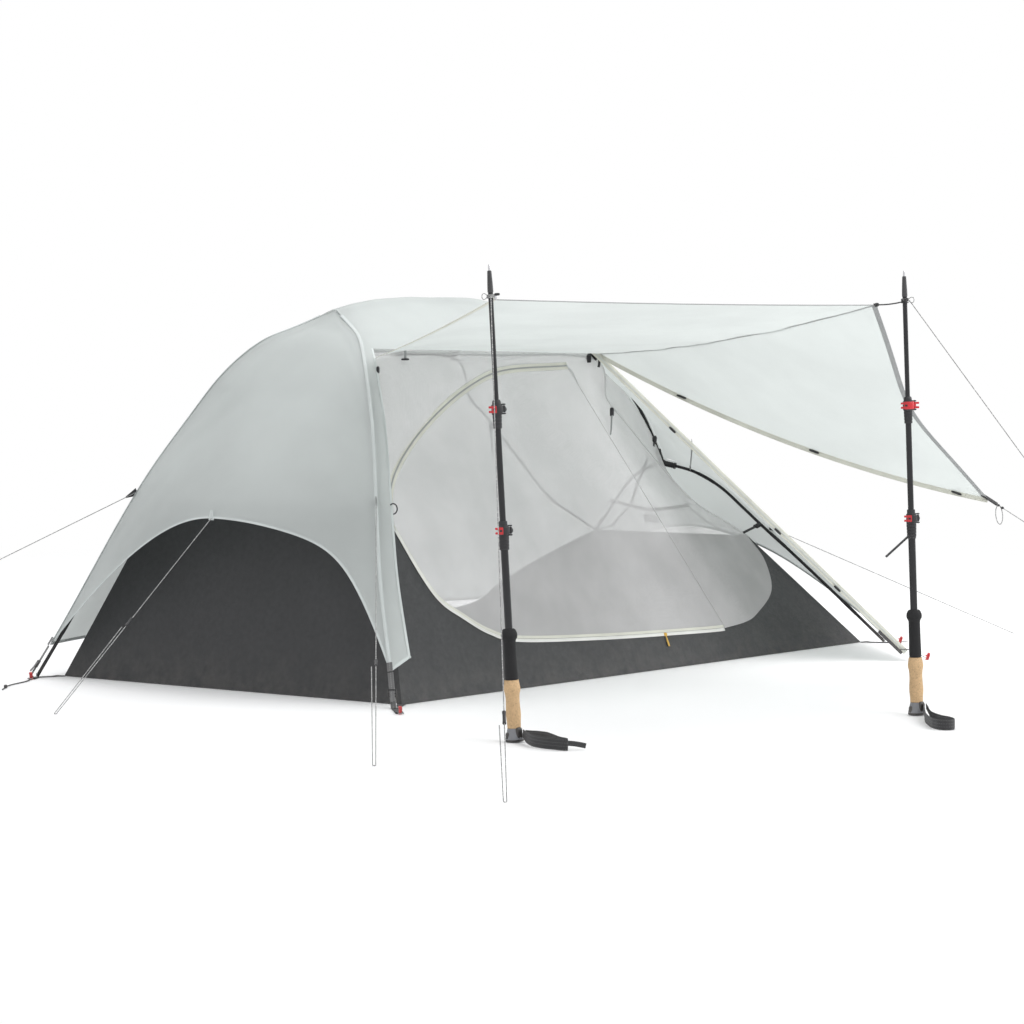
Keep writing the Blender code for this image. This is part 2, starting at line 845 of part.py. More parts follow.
def build_mesh_door():
    """The D-shaped door panel, with its origin on its hinge line."""
    _, inner = surround_loops()
    hinge_top, hinge_bottom = hinge_line()
    arc_count = SEAM_STATIONS + EAVE_STATIONS - 1
    sill = front_wall_top()[1 : top_index_of_hinge()]
    edge = [hinge_bottom, *reversed(sill), *inner[:arc_count]]
    count = len(edge)
    stations = [hinge_bottom.lerp(hinge_top, i / (count - 1)) for i in range(count)]
    rows = [[a.lerp(b, s) for a, b in zip(edge, stations)] for s in spread(0.0, 1.0, 4)]
    made = cloth("mesh_door", [rows], mesh_cloth())
    put_origin(made, hinge_bottom)


def put_origin(made, origin):
    """Moves an object's origin without moving its shape."""
    made.data.transform(Matrix.Translation(-origin))
    made.location = origin


def build_zip_slider():
    """The door zip's slider, which rides along the straight part of the sill."""
    start = sill_point(FRONT, 0.0)
    end = sill_point(FRONT, 1.0)
    place = start.lerp(end, SLIDER_SHARE)
    along = (end - start).normalized()
    base = at(place.x - HEAD_X, -HALF_WIDTH, WALL_FOOT)
    up = (place - base).normalized()
    out = along.cross(up).normalized()
    up = out.cross(along)
    depth = SLIDER_DEPTH / 2
    centre = place + out * (CLOTH / 2 + CONTACT_GAP + depth) - up * (SLIDER_HEIGHT / 2 + CONTACT_GAP)
    half = SLIDER_HEIGHT / 2
    block = box_mesh((-0.006, -depth, -half), (0.006, depth, half))
    pull = box_mesh((-0.002, -depth * 0.5, -half - 0.028), (0.002, depth * 0.4, 0.001 - half))
    made = combined("door_zip_slider", block, [pull], material("yellow_pull", (0.70, 0.42, 0.06), 0.5))
    turn = Matrix((along, -out, up)).transposed().to_4x4()
    made.matrix_world = Matrix.Translation(centre) @ turn
    return made


# Flysheet


def fly_over(route, outward):
    """A pole's curve moved outwards by the room between the pole and the cloth, a little more at its hub."""
    samples = route.samples
    points = []
    for i, p in enumerate(samples):
        before = samples[max(i - 1, 0)]
        after = samples[min(i + 1, len(samples) - 1)]
        along = (after - before).normalized()
        way = (outward - along * outward.dot(along)).normalized()
        lift = FLY_LIFT + HUB_LIFT * math.exp(-((route.marks[i] / HUB_LIFT_REACH) ** 2))
        points.append(p + way * lift)
    return Route(points, smooth=False)


def fly_head_leg(side):
    return fly_over(head_leg(side), Vector((-0.75, 0.55 * side, 0.65)))


def fly_foot_leg(side):
    return fly_over(foot_leg(side), Vector((0.60, 0.35 * side, 0.75)))


def fly_ridge_point(t):
    return at(t, 0, ridge_height(t) + FLY_LIFT)


def fly_seam(side, shares):
    """Points of the head leg's fly seam; the last, at the hub, is drawn to the middle."""
    route = fly_head_leg(side)
    points = [route.point(s) for s in shares]
    if shares[-1] == 0.0:
        points[-1] = fly_ridge_point(HEAD_HUB_INSET)
    return points


def head_low_shares():
    route = fly_head_leg(FRONT)
    low = route.share_at_height(FLY_CORNER_HEIGHT)
    return spread(low, route.share_at_height(EAVE_HEIGHT), SEAM_STATIONS + 1)


def head_crown_shares():
    route = fly_head_leg(FRONT)
    return spread(route.share_at_height(EAVE_HEIGHT), 0.0, CROWN_STATIONS)


def arched_panel(name, route, shares, crown, height, bulge, outward, top):
    """An end panel between two legs, with an arched hem that is drawn outwards at its middle."""
    columns = 11
    corner = route.point(shares[0]).z
    hem_share = route.share_at_height(height)
    rows = []
    for i in range(len(shares)):
        row = []
        for u in spread(-1.0, 1.0, columns):
            hem = corner + (height - corner) * (1 - abs(u) ** HEM_FULLNESS)
            low = route.share_at_height(hem)
            share = spread(low, shares[-1], len(shares))[i]
            row.append(panel_point(route, share, u, hem_share, bulge, outward, top))
        rows.append(row)
    across = spread(-1.0, 1.0, columns)
    for share in crown[1:]:
        rows.append([panel_point(route, share, u, hem_share, bulge, outward, top) for u in across])
    return cloth(name, [rows], fly_cloth())


def panel_point(route, share, u, hem_share, bulge, outward, top):
    if share == 0.0:
        return Vector(top)
    p = route.point(share)
    swell = bulge * (1 - u * u) * min(share / hem_share, 1.0) ** 1.3
    return Vector((p.x + outward * swell, abs(p.y) * u, p.z))


def foot_shares():
    route = fly_foot_leg(FRONT)
    return spread(route.share_at_height(FLY_CORNER_HEIGHT), 0.0, CROWN_STATIONS + SEAM_STATIONS)


def foot_leg_seam(side):
    """Points of the foot leg's fly seam from the hub down to the fly's corner."""
    route = fly_foot_leg(side)
    points = [route.point(s) for s in reversed(foot_shares())]
    points[0] = foot_hub() + Vector((FLY_LIFT + HUB_LIFT, 0, FLY_LIFT)) * 0.9
    return points


RIDGE_STATIONS = 10


def ridge_seam(side):
    """Points along the fly's ridge from the brow pole to the foot hub."""
    start = BROW_FROM_HEAD
    end = FLOOR_LENGTH - FOOT_HUB_INSET
    points = [fly_ridge_point(start + (end - start) * s**0.8) for s in spread(0.0, 0.955, RIDGE_STATIONS - 1)]
    for i, p in enumerate(points):
        bend = i / (len(points) - 1)
        points[i] = p + Vector((0.6, 0, 0.25)) * FLY_LIFT * bend + Vector((0, side * RIDGE_SEAM_GAP, 0))
    return [*points, foot_leg_seam(side)[0]]


def eave_point(side, share):
    """Along the straight eave, from the head arch to the brow pole."""
    return eave_corner_head(side).lerp(eave_corner_brow(side), share)


def eave_corner_head(side):
    """Where the fly's eave starts, beside the head arch."""
    return fly_seam(side, head_low_shares())[-1]


def eave_corner_brow(side):
    """Where the fly's eave ends, over the end of the brow pole."""
    end = brow_route().point(1.0)
    return Vector((end.x, side * (end.y + FLY_LIFT), end.z + FLY_LIFT * 0.6))


def brow_seam(side):
    """Points of the fly across the brow pole, from the ridge to the eave."""
    top = fly_ridge_point(BROW_FROM_HEAD)
    low = eave_corner_brow(side)
    points = []
    for s in spread(0.0, 1.0, CROWN_STATIONS):
        points.append(Vector((top.x, low.y * s, top.z + (low.z - top.z) * (0.35 * s + 0.65 * s * s))))
    return points


def build_fly():
    shares = head_low_shares()
    crown = head_crown_shares()
    top = fly_ridge_point(HEAD_HUB_INSET)
    arched_panel("fly_head", fly_head_leg(FRONT), shares, crown, HEAD_ARCH_HEIGHT, HEAD_ARCH_BULGE, -1, top)
    build_fly_roof(crown)
    build_fly_strip(shares)
    build_fly_back(shares)
    build_fly_wing()
    build_fly_foot()


def build_fly_roof(crown):
    """The roof over the ridge, from the head arch to the brow pole."""
    arch = fly_seam(FRONT, crown)
    start = [*arch, *[Vector((p.x, -p.y, p.z)) for p in reversed(arch[:-1])]]
    brow = brow_seam(FRONT)
    end = [*reversed(brow), *[Vector((p.x, -p.y, p.z)) for p in brow[1:]]]
    rows = []
    for s in spread(0.0, 1.0, 7):
        row = [a.lerp(b, s) for a, b in zip(start, end)]
        middle = len(row) // 2
        rise = fly_ridge_point(row[middle].x - HEAD_X).z - row[middle].z
        for j, p in enumerate(row):
            away = abs(j - middle) / middle
            row[j] = Vector((p.x, p.y, p.z + rise * (1 - away)))
        rows.append(row)
    cloth("fly_roof", [rows], fly_cloth())


def strip_edge():
    """The zip edge of the narrow strip beside the front head leg, bottom to top."""
    seam = fly_seam(FRONT, head_low_shares())
    eave = eave_point(FRONT, 1.0) - eave_point(FRONT, 0.0)
    top = eave_point(FRONT, STRIP_TOP_WIDTH / eave.length) - seam[-1]
    low = Vector((STRIP_BOTTOM_WIDTH, -0.008, 0.030))
    count = len(seam) - 1
    return [p + top * (i / count) + low * (1 - i / count) for i, p in enumerate(seam)]


def build_fly_strip(shares):
    seam = fly_seam(FRONT, shares)
    edge = strip_edge()
    rows = [[p.lerp(q, s) for s in (0.0, 0.5, 1.0)] for p, q in zip(seam, edge)]
    cloth("fly_strip", [rows], fly_cloth())


def coons(top, bottom, left, right):
    """A grid that fills four edges: rows run from the top edge to the bottom one."""
    rows = []
    for j, (a, b) in enumerate(zip(left, right)):
        v = j / (len(left) - 1)
        row = []
        for i, (c, d) in enumerate(zip(top, bottom)):
            u = i / (len(top) - 1)
            ruled = c * (1 - v) + d * v + a * (1 - u) + b * u
            corners = (top[0] * (1 - u) + top[-1] * u) * (1 - v) + (bottom[0] * (1 - u) + bottom[-1] * u) * v
            row.append(ruled - corners)
        rows.append(row)
    return rows


def back_hem_point(share):
    """Along the back hem, which stands off the inner tent by the most at its middle."""
    start = fly_seam(BACK, head_low_shares())[0]
    end = foot_leg_seam(BACK)[-1]
    flare = BACK_HEM_OUT * (1 - abs(2 * share - 1) ** 2.5)
    return start.lerp(end, share) + Vector((0, flare, 0))


def build_fly_back(shares):
    """The back panel: part hangs from the shoulder, the rest from the brow, ridge and foot leg."""
    columns = 7
    start = eave_corner_head(BACK)
    end = eave_corner_brow(BACK)
    split = 0.56
    shoulder = [start.lerp(end, s) for s in spread(0.0, 1.0, columns)]
    low = [back_hem_point(split * s) for s in spread(0.0, 1.0, columns)]
    seam = list(reversed(fly_seam(BACK, shares)))
    drop = [end.lerp(low[-1], s) for s in spread(0.0, 1.0, SEAM_STATIONS + 1)]
    head_part = coons(shoulder, low, seam, drop)
    ridge = ridge_seam(BACK)
    rest = [back_hem_point(split + (1 - split) * s) for s in spread(0.0, 1.0, len(ridge))]
    side = [*brow_seam(BACK), *drop[1:]]
    side[0] = ridge[0]
    foot_part = coons(ridge, rest, side, foot_leg_seam(BACK))
    cloth("fly_back", [head_part, foot_part], fly_cloth())


def wing_corner():
    return at(WING_CORNER_T, -(HALF_WIDTH + WING_CORNER_OUT), WING_CORNER_HEIGHT)


def build_fly_wing():
    """The front panel of the foot end, from the brow, the ridge and the foot leg out to its open zip edge."""
    ridge = ridge_seam(FRONT)
    corner = wing_corner()
    leg = foot_leg_seam(FRONT)
    brow = brow_seam(FRONT)
    zip_edge = [brow[-1].lerp(corner, s) for s in spread(0.0, 1.0, SEAM_STATIONS + 1)]
    side = [*brow, *zip_edge[1:]]
    side[0] = ridge[0]
    hem = []
    for s in spread(0.0, 1.0, len(ridge)):
        hem.append(corner.lerp(leg[-1], s) + Vector((0, 0, WING_HEM_RISE * 4 * s * (1 - s))))
    cloth("fly_wing", [coons(ridge, hem, side, leg)], fly_cloth())


def build_fly_foot():
    route = fly_foot_leg(FRONT)
    shares = foot_shares()
    top = foot_leg_seam(FRONT)[0]
    arched_panel("fly_foot", route, shares, [0.0], FOOT_ARCH_HEIGHT, FOOT_ARCH_BULGE, 1, top)


# Awning


def pole_base(number):
    t, out = ((POLE_1_T, POLE_1_OUT), (POLE_2_T, POLE_2_OUT))[number - 1]
    return at(t, -(HALF_WIDTH + out), 0)


def pole_way(number):
    lean_t, lean_y = ((POLE_1_LEAN_T, POLE_1_LEAN_Y), (POLE_2_LEAN_T, POLE_2_LEAN_Y))[number - 1]
    return Vector((lean_t, lean_y, FERRULE_TOP + STEEL_TIP)).normalized()


def pole_point(number, height):
    """A point on a trekking pole's axis, by its distance from the grip's end."""
    way = pole_way(number)
    lift = GRIP_RADIUS * 1.2 * math.sqrt(1 - way.z * way.z)
    return pole_base(number) + Vector((0, 0, lift)) + way * height


def awning_corner(number):
    """A corner of the awning, at the end of the loop that ties it to its pole."""
    reach = (LOOP_1_REACH, LOOP_2_REACH)[number - 1]
    pole = pole_point(number, LOOP_HEIGHT)
    aim = (at(0.35, -0.75, 0) - Vector((pole.x, pole.y, 0))).normalized()
    return pole + aim * reach + Vector((0, 0, -0.003 - 0.10 * reach))


def awning_tip():
    return at(AWNING_TIP_T, -(HALF_WIDTH + AWNING_TIP_OUT), AWNING_TIP_HEIGHT)


def build_awning():
    """Two panels of one sheet, which meets along a fold from the brow corner to the second pole."""
    eave_start = strip_edge()[-1]
    eave_end = eave_corner_brow(FRONT)
    first = awning_corner(1)
    second = awning_corner(2)
    third = awning_tip()
    centre = (eave_end + second + third) / 3
    main_steps = 9
    side_steps = 9
    columns = []
    for s in spread(0.0, 1.0, main_steps):
        near = eave_start.lerp(eave_end, s)
        far = first.lerp(second, s) + Vector((0, 0, -0.004)) * 4 * s * (1 - s)
        columns.append((near, far, AWNING_FOLD_SAG * (0.3 + 0.7 * s), Vector((0, 0, -1))))
    for s in spread(0.0, 1.0, side_steps)[1:]:
        chord = second.lerp(third, s)
        inward = (centre - chord).normalized()
        far = chord + inward * AWNING_EDGE_INSET * 4 * s * (1 - s)
        sag = AWNING_FOLD_SAG + (AWNING_HEM_SAG - AWNING_FOLD_SAG) * s
        columns.append((eave_end, far, sag, Vector((0, 0, -1))))
    rows = []
    for s in spread(0.0, 1.0, 9):
        rows.append([a.lerp(b, s) + way * sag * 4 * s * (1 - s) for a, b, sag, way in columns])
    cloth("awning", [rows], fly_cloth())


# Trekking poles


def placed(made, number, height):
    """Stands a piece modelled about Z on a trekking pole's axis, with its origin at the height given."""
    turn = Vector((0, 0, 1)).rotation_difference(pole_way(number)).to_matrix().to_4x4()
    made.data.transform(Matrix.Translation((0, 0, -height)))
    made.matrix_world = Matrix.Translation(pole_point(number, height)) @ turn
    return made


def turned(name, profile, surface, sides=14, closed=False):
    points, faces = lathe(profile, sides, closed)
    made = add_object(name, mesh_from(points, faces, name), surface)
    return smooth_sides(made)


def build_trekking_pole(number):
    end = f"_{number}"
    lower_bore = MIDDLE_SHAFT_RADIUS + SHAFT_CLEARANCE
    middle_bore = TIP_SHAFT_RADIUS + SHAFT_CLEARANCE
    fit = LOWER_SHAFT_RADIUS + CONTACT_GAP
    grip = GRIP_RADIUS
    shaft_floor = 0.030
    ring = [
        (fit, 0.0),
        (grip * 1.15, 0.0),
        (grip * 1.2, 0.008),
        (grip * 0.97, 0.014),
        (grip, 0.045),
        (grip * 0.92, 0.085),
        (grip * 1.04, CORK_TOP - 0.012),
        (grip * 0.94, CORK_TOP),
        (fit, CORK_TOP),
    ]
    placed(turned("cork_grip" + end, ring, cork(), closed=True), number, 0.0)
    ring = [
        (fit, CORK_TOP + CONTACT_GAP),
        (FOAM_RADIUS, CORK_TOP + CONTACT_GAP),
        (FOAM_RADIUS * 0.97, FOAM_TOP - 0.035),
        (FOAM_RADIUS * 1.25, FOAM_TOP - 0.020),
        (FOAM_RADIUS * 1.25, FOAM_TOP - 0.008),
        (FOAM_RADIUS * 0.9, FOAM_TOP),
        (fit, FOAM_TOP),
    ]
    placed(turned("foam_grip" + end, ring, foam(), closed=True), number, CORK_TOP)
    shaft = [
        (LOWER_SHAFT_RADIUS, 0.004),
        (LOWER_SHAFT_RADIUS, LOWER_SHAFT_TOP),
        (lower_bore, LOWER_SHAFT_TOP),
        (lower_bore, shaft_floor),
    ]
    placed(turned("lower_shaft" + end, shaft, pole_alloy()), number, 0.0)
    shaft = [
        (MIDDLE_SHAFT_RADIUS, MIDDLE_SHAFT_FOOT),
        (MIDDLE_SHAFT_RADIUS, MIDDLE_SHAFT_TOP),
        (middle_bore, MIDDLE_SHAFT_TOP),
        (middle_bore, MIDDLE_SHAFT_FOOT),
    ]
    placed(turned("middle_shaft" + end, shaft, pole_alloy(), closed=True), number, MIDDLE_SHAFT_FOOT)
    tip = [
        (TIP_SHAFT_RADIUS, TIP_SHAFT_FOOT),
        (TIP_SHAFT_RADIUS, FERRULE_TOP - FERRULE_LENGTH),
        (FERRULE_RADIUS, FERRULE_TOP - FERRULE_LENGTH + 0.003),
        (FERRULE_RADIUS * 0.72, FERRULE_TOP),
        (0.0022, FERRULE_TOP + 0.002),
        (0.0018, FERRULE_TOP + STEEL_TIP),
    ]
    placed(turned("tip_section" + end, tip, pole_alloy()), number, TIP_SHAFT_FOOT)
    for level, outer, inner, top in (
        ("lower", LOWER_SHAFT_RADIUS, MIDDLE_SHAFT_RADIUS, LOWER_SHAFT_TOP),
        ("upper", MIDDLE_SHAFT_RADIUS, TIP_SHAFT_RADIUS, MIDDLE_SHAFT_TOP),
    ):
        build_lock(number, level, outer, inner, top)
    build_awning_loop(number)


def lock_centre(top):
    return top + 0.012


def lever_axis_radius():
    return LOCK_RADIUS + CONTACT_GAP + KNUCKLE_RADIUS + 0.0008


def build_lock(number, level, outer, inner, top):
    """A clamp collar seated on the wider tube's end, and the lever that pinches it shut."""
    name = f"{level}_lock_{number}"
    centre = lock_centre(top)
    low = top - LOCK_HEIGHT * 0.55
    high = top + LOCK_HEIGHT * 0.45
    seat = outer + CONTACT_GAP
    throat = inner + SHAFT_CLEARANCE
    ring = [
        (seat, low),
        (seat + 0.0022, low),
        (LOCK_RADIUS * 0.93, low + 0.012),
        (LOCK_RADIUS * 0.93, centre - LEVER_HEIGHT * 0.62),
        (LOCK_RADIUS, centre - LEVER_HEIGHT * 0.55),
        (LOCK_RADIUS, centre + LEVER_HEIGHT * 0.55),
        (LOCK_RADIUS * 0.86, high - 0.002),
        (throat + 0.002, high),
        (throat, high),
        (throat, top + CONTACT_GAP),
        (seat, top + CONTACT_GAP),
    ]
    points, faces = lathe(ring, 14, closed=True)
    body = mesh_from(points, faces, name)
    reach = lever_axis_radius() + KNUCKLE_RADIUS
    half = LEVER_HEIGHT / 2 + CONTACT_GAP
    lugs = []
    for z in (centre - half - 0.0034, centre + half):
        lug = box_mesh((LOCK_RADIUS * 0.84, -KNUCKLE_RADIUS, z), (reach, KNUCKLE_RADIUS, z + 0.0034))
        lug.transform(Matrix.Rotation(math.radians(LEVER_BEARING), 4, "Z"))
        lugs.append(lug)
    made = combined(name, body, lugs, black_plastic())
    placed(made, number, top)
    build_lever(number, level, centre)


def build_lever(number, level, centre):
    """A curved lever that lies round the collar; its origin is on the axis of its knuckle."""
    name = f"{level}_lever_{number}"
    inner = LOCK_RADIUS + CONTACT_GAP
    outer = inner + LEVER_THICKNESS
    axis = lever_axis_radius()
    steps = 12
    half = LEVER_HEIGHT / 2
    points = []
    for i in range(steps + 1):
        angle = -math.radians(4 + (LEVER_SWEEP - 4) * i / steps)
        flare = 0.004 * max(0.0, i / steps - 0.75) / 0.25
        for radius in (inner + flare, outer + flare * 1.4):
            for z in (-half, half):
                points.append(Vector((radius * math.cos(angle), radius * math.sin(angle), centre + z)))
    faces = [(0, 1, 3, 2), (4 * steps, 4 * steps + 2, 4 * steps + 3, 4 * steps + 1)]
    for i in range(steps):
        a = 4 * i
        b = a + 4
        faces += [(a, b, b + 1, a + 1), (a + 2, a + 3, b + 3, b + 2)]
        faces += [(a, a + 2, b + 2, b), (a + 1, b + 1, b + 3, a + 3)]
    band = mesh_from(points, faces, name)
    low = Vector((axis, 0, centre - half))
    hub = cylinder_between(low, low + Vector((0, 0, LEVER_HEIGHT)), KNUCKLE_RADIUS, 12)
    made = combined(name, band, [hub], red_plastic())
    made.data.transform(Matrix.Rotation(math.radians(LEVER_BEARING), 4, "Z"))
    pivot = Matrix.Rotation(math.radians(LEVER_BEARING), 4, "Z") @ Vector((axis, 0, centre))
    made.data.transform(Matrix.Translation((-pivot.x, -pivot.y, 0)))
    placed(made, number, centre)
    turn = Vector((0, 0, 1)).rotation_difference(pole_way(number)).to_matrix()
    made.location = made.location + turn @ Vector((pivot.x, pivot.y, 0))


def loop_bore():
    return max(FERRULE_RADIUS, TIP_SHAFT_RADIUS) + CONTACT_GAP


def build_awning_loop(number):
    """A ring round the pole's tip section with an arm to the awning's corner."""
    bore = loop_bore()
    outer = bore + LOOP_WALL
    ring = [(bore, -0.004), (outer, -0.004), (outer, 0.004), (bore, 0.004)]
    points, faces = lathe(ring, 14, closed=True)
    turn = Vector((0, 0, 1)).rotation_difference(pole_way(number)).to_matrix().to_4x4()
    place = Matrix.Translation(pole_point(number, LOOP_HEIGHT)) @ turn
    body = mesh_from([place @ p for p in points], faces, "ring")
    corner = awning_corner(number)
    pole = pole_point(number, LOOP_HEIGHT)
    way = (corner - pole).normalized()
    flat = Vector((way.x, way.y, 0)).normalized()
    start = pole + flat * (bore + 0.0018)
    arm = cylinder_between(start, corner, 0.0016, 8)
    combined(f"awning_loop_{number}", body, [arm], webbing())


# Ground straps and guy lines


def build_corner_strap(name, corner, route, fly_corner):
    """Webbing from the floor's corner to the leg's foot and the stake, and up to the fly's corner."""
    foot = route.point(1.0)
    way = Vector((foot.x - corner.x, foot.y - corner.y, 0))
    length = way.length + STRAP_TAIL
    way.normalize()
    across = Vector((-way.y, way.x, 0))
    start = corner
    base = box_mesh((0, -STRAP_WIDTH / 2, 0), (length, STRAP_WIDTH / 2, STRAP_THICKNESS))
    turn = Matrix((way, across, Vector((0, 0, 1)))).transposed().to_4x4()
    base.transform(Matrix.Translation((start.x, start.y, 0)) @ turn)
    low = Vector((foot.x, foot.y, STRAP_THICKNESS)) + way * (POLE_RADIUS + 0.016)
    high = Vector(fly_corner) + way * 0.004 - Vector((0, 0, CLOTH + CONTACT_GAP + 0.001))
    rise = (high - low).normalized()
    normal = across.cross(rise).normalized()
    half_thick = STRAP_THICKNESS / 2
    half_wide = STRAP_WIDTH * 0.35
    riser = box_mesh((-half_thick, -half_wide, 0), (half_thick, half_wide, (high - low).length))
    side = rise.cross(normal).normalized()
    turn = Matrix((normal, side, rise)).transposed().to_4x4()
    riser.transform(Matrix.Translation(low) @ turn)
    combined(name, base, [riser], webbing())


def build_corner_straps():
    head_share = head_low_shares()[0]
    foot_share = foot_shares()[0]
    for side, name in ((FRONT, "front"), (BACK, "back")):
        corner = at(0.0, side * HALF_WIDTH, 0)
        build_corner_strap(f"head_strap_{name}", corner, head_leg(side), fly_head_leg(side).point(head_share))
        corner = at(FLOOR_LENGTH, side * HALF_WIDTH, 0)
        build_corner_strap(f"foot_strap_{name}", corner, foot_leg(side), fly_foot_leg(side).point(foot_share))


def ground(t, y):
    return at(t, y, STAKE_LINE_HEIGHT)


def plain_guy(name, start, end):
    """A taut line from the tent to its stake."""
    tube(name, [start, end], CORD_RADIUS, guy_cord(), resolution=1)


def doubled_guy(number, start, end, return_length):
    """A taut line that turns round its stake and comes back up to a tensioner riding on it."""
    way = (end - start).normalized()
    across = way.cross(Vector((0, 0, 1))).normalized()
    turn = HAIRPIN_WIDTH / 2
    points = [start, end]
    for i in range(1, 6):
        angle = math.pi * i / 6
        points.append(end + across * turn * (1 - math.cos(angle)) + way * turn * math.sin(angle))
    points.append(end + across * HAIRPIN_WIDTH)
    stop = end - way * (return_length - TENSIONER_LENGTH / 2 - 0.004) + across * (HAIRPIN_WIDTH * 0.9)
    points.append(stop)
    tube(f"guy_line_{number}", points, CORD_RADIUS, guy_cord(), resolution=1)
    bore = CORD_RADIUS + TENSIONER_GAP
    half = TENSIONER_LENGTH / 2
    ring = [
        (bore, -half),
        (TENSIONER_RADIUS * 0.8, -half),
        (TENSIONER_RADIUS, -half + 0.003),
        (TENSIONER_RADIUS, half - 0.003),
        (TENSIONER_RADIUS * 0.8, half),
        (bore, half),
    ]
    made = turned(f"tensioner_{number}", ring, black_plastic(), sides=12, closed=True)
    turn_to = Vector((0, 0, 1)).rotation_difference(way).to_matrix().to_4x4()
    made.matrix_world = Matrix.Translation(end - way * return_length) @ turn_to


def build_guy_lines():
    doubled_guy(1, head_arch_top(), ground(*HEAD_STAKE), HEAD_TENSIONER_FROM_STAKE)
    doubled_guy(2, leg_tab(FRONT), ground(*FRONT_STAKE), FRONT_TENSIONER_FROM_STAKE)
    doubled_guy(3, pole_tip_side(1), ground(*POLE_1_STAKE), POLE_1_TENSIONER_FROM_STAKE)
    plain_guy("guy_line_4", leg_tab(BACK), ground(*BACK_STAKE))
    plain_guy("guy_line_5", pole_tip_side(2), ground(*POLE_2_STAKE))
    plain_guy("guy_line_6", awning_tip(), ground(*AWNING_STAKE))
    plain_guy("guy_line_7", foot_tab(), ground(*FOOT_STAKE))


def head_arch_top():
    """Just off the middle of the head panel's hem."""
    route = fly_head_leg(FRONT)
    hem = route.share_at_height(HEAD_ARCH_HEIGHT)
    p = panel_point(route, hem, 0.0, hem, HEAD_ARCH_BULGE, -1, None)
    return p + (ground(*HEAD_STAKE) - p).normalized() * CONTACT_GAP


def leg_tab(side):
    """On the fly's head seam, at the height where its guy line is sewn on."""
    route = fly_head_leg(side)
    p = route.point(route.share_at_height(GUY_TAB_HEIGHT))
    return p + Vector((-0.7, side * 0.7, 0)) * (GUY_GAP + CORD_RADIUS / 2)


def pole_tip_side(number):
    """On the outside of the ring at the trekking pole's tip, on the side of the stake."""
    stake = Vector((*ground(*(POLE_1_STAKE, POLE_2_STAKE)[number - 1])[:2], 0))
    pole = pole_point(number, LOOP_HEIGHT)
    way = (stake - Vector((pole.x, pole.y, 0))).normalized()
    return pole + way * (loop_bore() + LOOP_WALL + CORD_RADIUS * 0.7 + CONTACT_GAP)


def foot_tab():
    """On the fly over the front foot leg."""
    route = fly_foot_leg(FRONT)
    p = route.point(route.share_at_height(FOOT_TAB_HEIGHT))
    return p + Vector((0.5, -0.6, 0.6)) * (GUY_GAP + CORD_RADIUS / 2)


clear_scene()
build_frame()
build_inner()
build_zip_slider()
build_fly()
build_awning()
for pole_number in (1, 2):
    build_trekking_pole(pole_number)
build_corner_straps()
build_guy_lines()
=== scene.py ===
"""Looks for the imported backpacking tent: cloth, netting, poles, cords and fittings, and the studio
around them.

X runs along the tent from the head end (-) to the foot end (+), the door side faces -Y and Z is up.
Lengths are metres. Places along the tent are given as t, the distance from the head edge of the floor.
Every new surface is a grid of points worked out as whole arrays from two parameters, or a profile along a path.
"""

import math

import bpy
import numpy as np
from bpy.props import FloatProperty, FloatVectorProperty, PointerProperty
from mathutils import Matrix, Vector


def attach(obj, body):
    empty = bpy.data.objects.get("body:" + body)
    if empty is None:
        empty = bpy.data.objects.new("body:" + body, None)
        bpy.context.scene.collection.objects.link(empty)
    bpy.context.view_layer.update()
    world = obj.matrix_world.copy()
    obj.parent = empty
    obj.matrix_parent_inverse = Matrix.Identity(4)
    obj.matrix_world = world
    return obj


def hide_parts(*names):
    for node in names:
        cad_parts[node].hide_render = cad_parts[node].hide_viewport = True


bl_info = {
    "name": "Backpacking tent looks",
    "version": (1, 0, 0),
    "blender": (4, 5, 0),
    "location": "View3D > Sidebar > Tent",
    "description": "Dresses the packed backpacking tent and sets up its studio",
    "category": "Object",
}

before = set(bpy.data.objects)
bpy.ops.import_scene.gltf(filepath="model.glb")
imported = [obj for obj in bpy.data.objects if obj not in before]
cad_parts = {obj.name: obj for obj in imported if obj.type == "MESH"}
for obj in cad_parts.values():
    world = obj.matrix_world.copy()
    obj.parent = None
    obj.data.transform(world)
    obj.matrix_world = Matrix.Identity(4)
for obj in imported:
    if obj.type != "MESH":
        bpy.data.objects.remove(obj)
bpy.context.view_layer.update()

# Sizes in metres and degrees: those of the solids, and where the photograph's cloth lies differently its own
FLOOR_LENGTH = 2.15
HALF_WIDTH = 0.58
CLOTH = 0.0006
CONTACT_GAP = 0.0004
FLOOR_CLOTH_HEIGHT = 0.0013
HEAD_WALL_HEIGHT = 0.47
FOOT_WALL_HEIGHT = 0.313
FOOT_WALL_LEAN = 0.155
FOOT_WALL_TOP_WIDTH = 0.56
SILL_HEIGHT = 0.102
SILL_DROP = 0.017
CANOPY_DROP = 0.007
RIDGE_DROP = 0.0145
BACK_INSET_MORE = 0.034
INNER_INSET_END = 0.036
INNER_INSET_SIDE = 0.012
POLE_RADIUS = 0.0045
HEAD_HUB_INSET = 0.44
HEAD_HUB_HEIGHT = 0.96
FOOT_HUB_INSET = 0.202
FOOT_HUB_HEIGHT = 0.528
RIDGE_HEAD_RISE = 13.0
RIDGE_HEAD_PULL = 0.27
RIDGE_FOOT_FALL = 62.7
RIDGE_FOOT_PULL = 0.637
HEAD_LEG_OUT = (0.066, 0.034)
FOOT_LEG_OUT = (0.03, 0.062)
STRAP_THICKNESS = 0.0016
STRAP_WIDTH = 0.02
BROW_FROM_HEAD = 1.25
BROW_SPAN = 0.52
BROW_END_DROP = 0.118
FLY_LIFT = 0.012
HUB_LIFT = 0.006
HUB_LIFT_REACH = 0.05
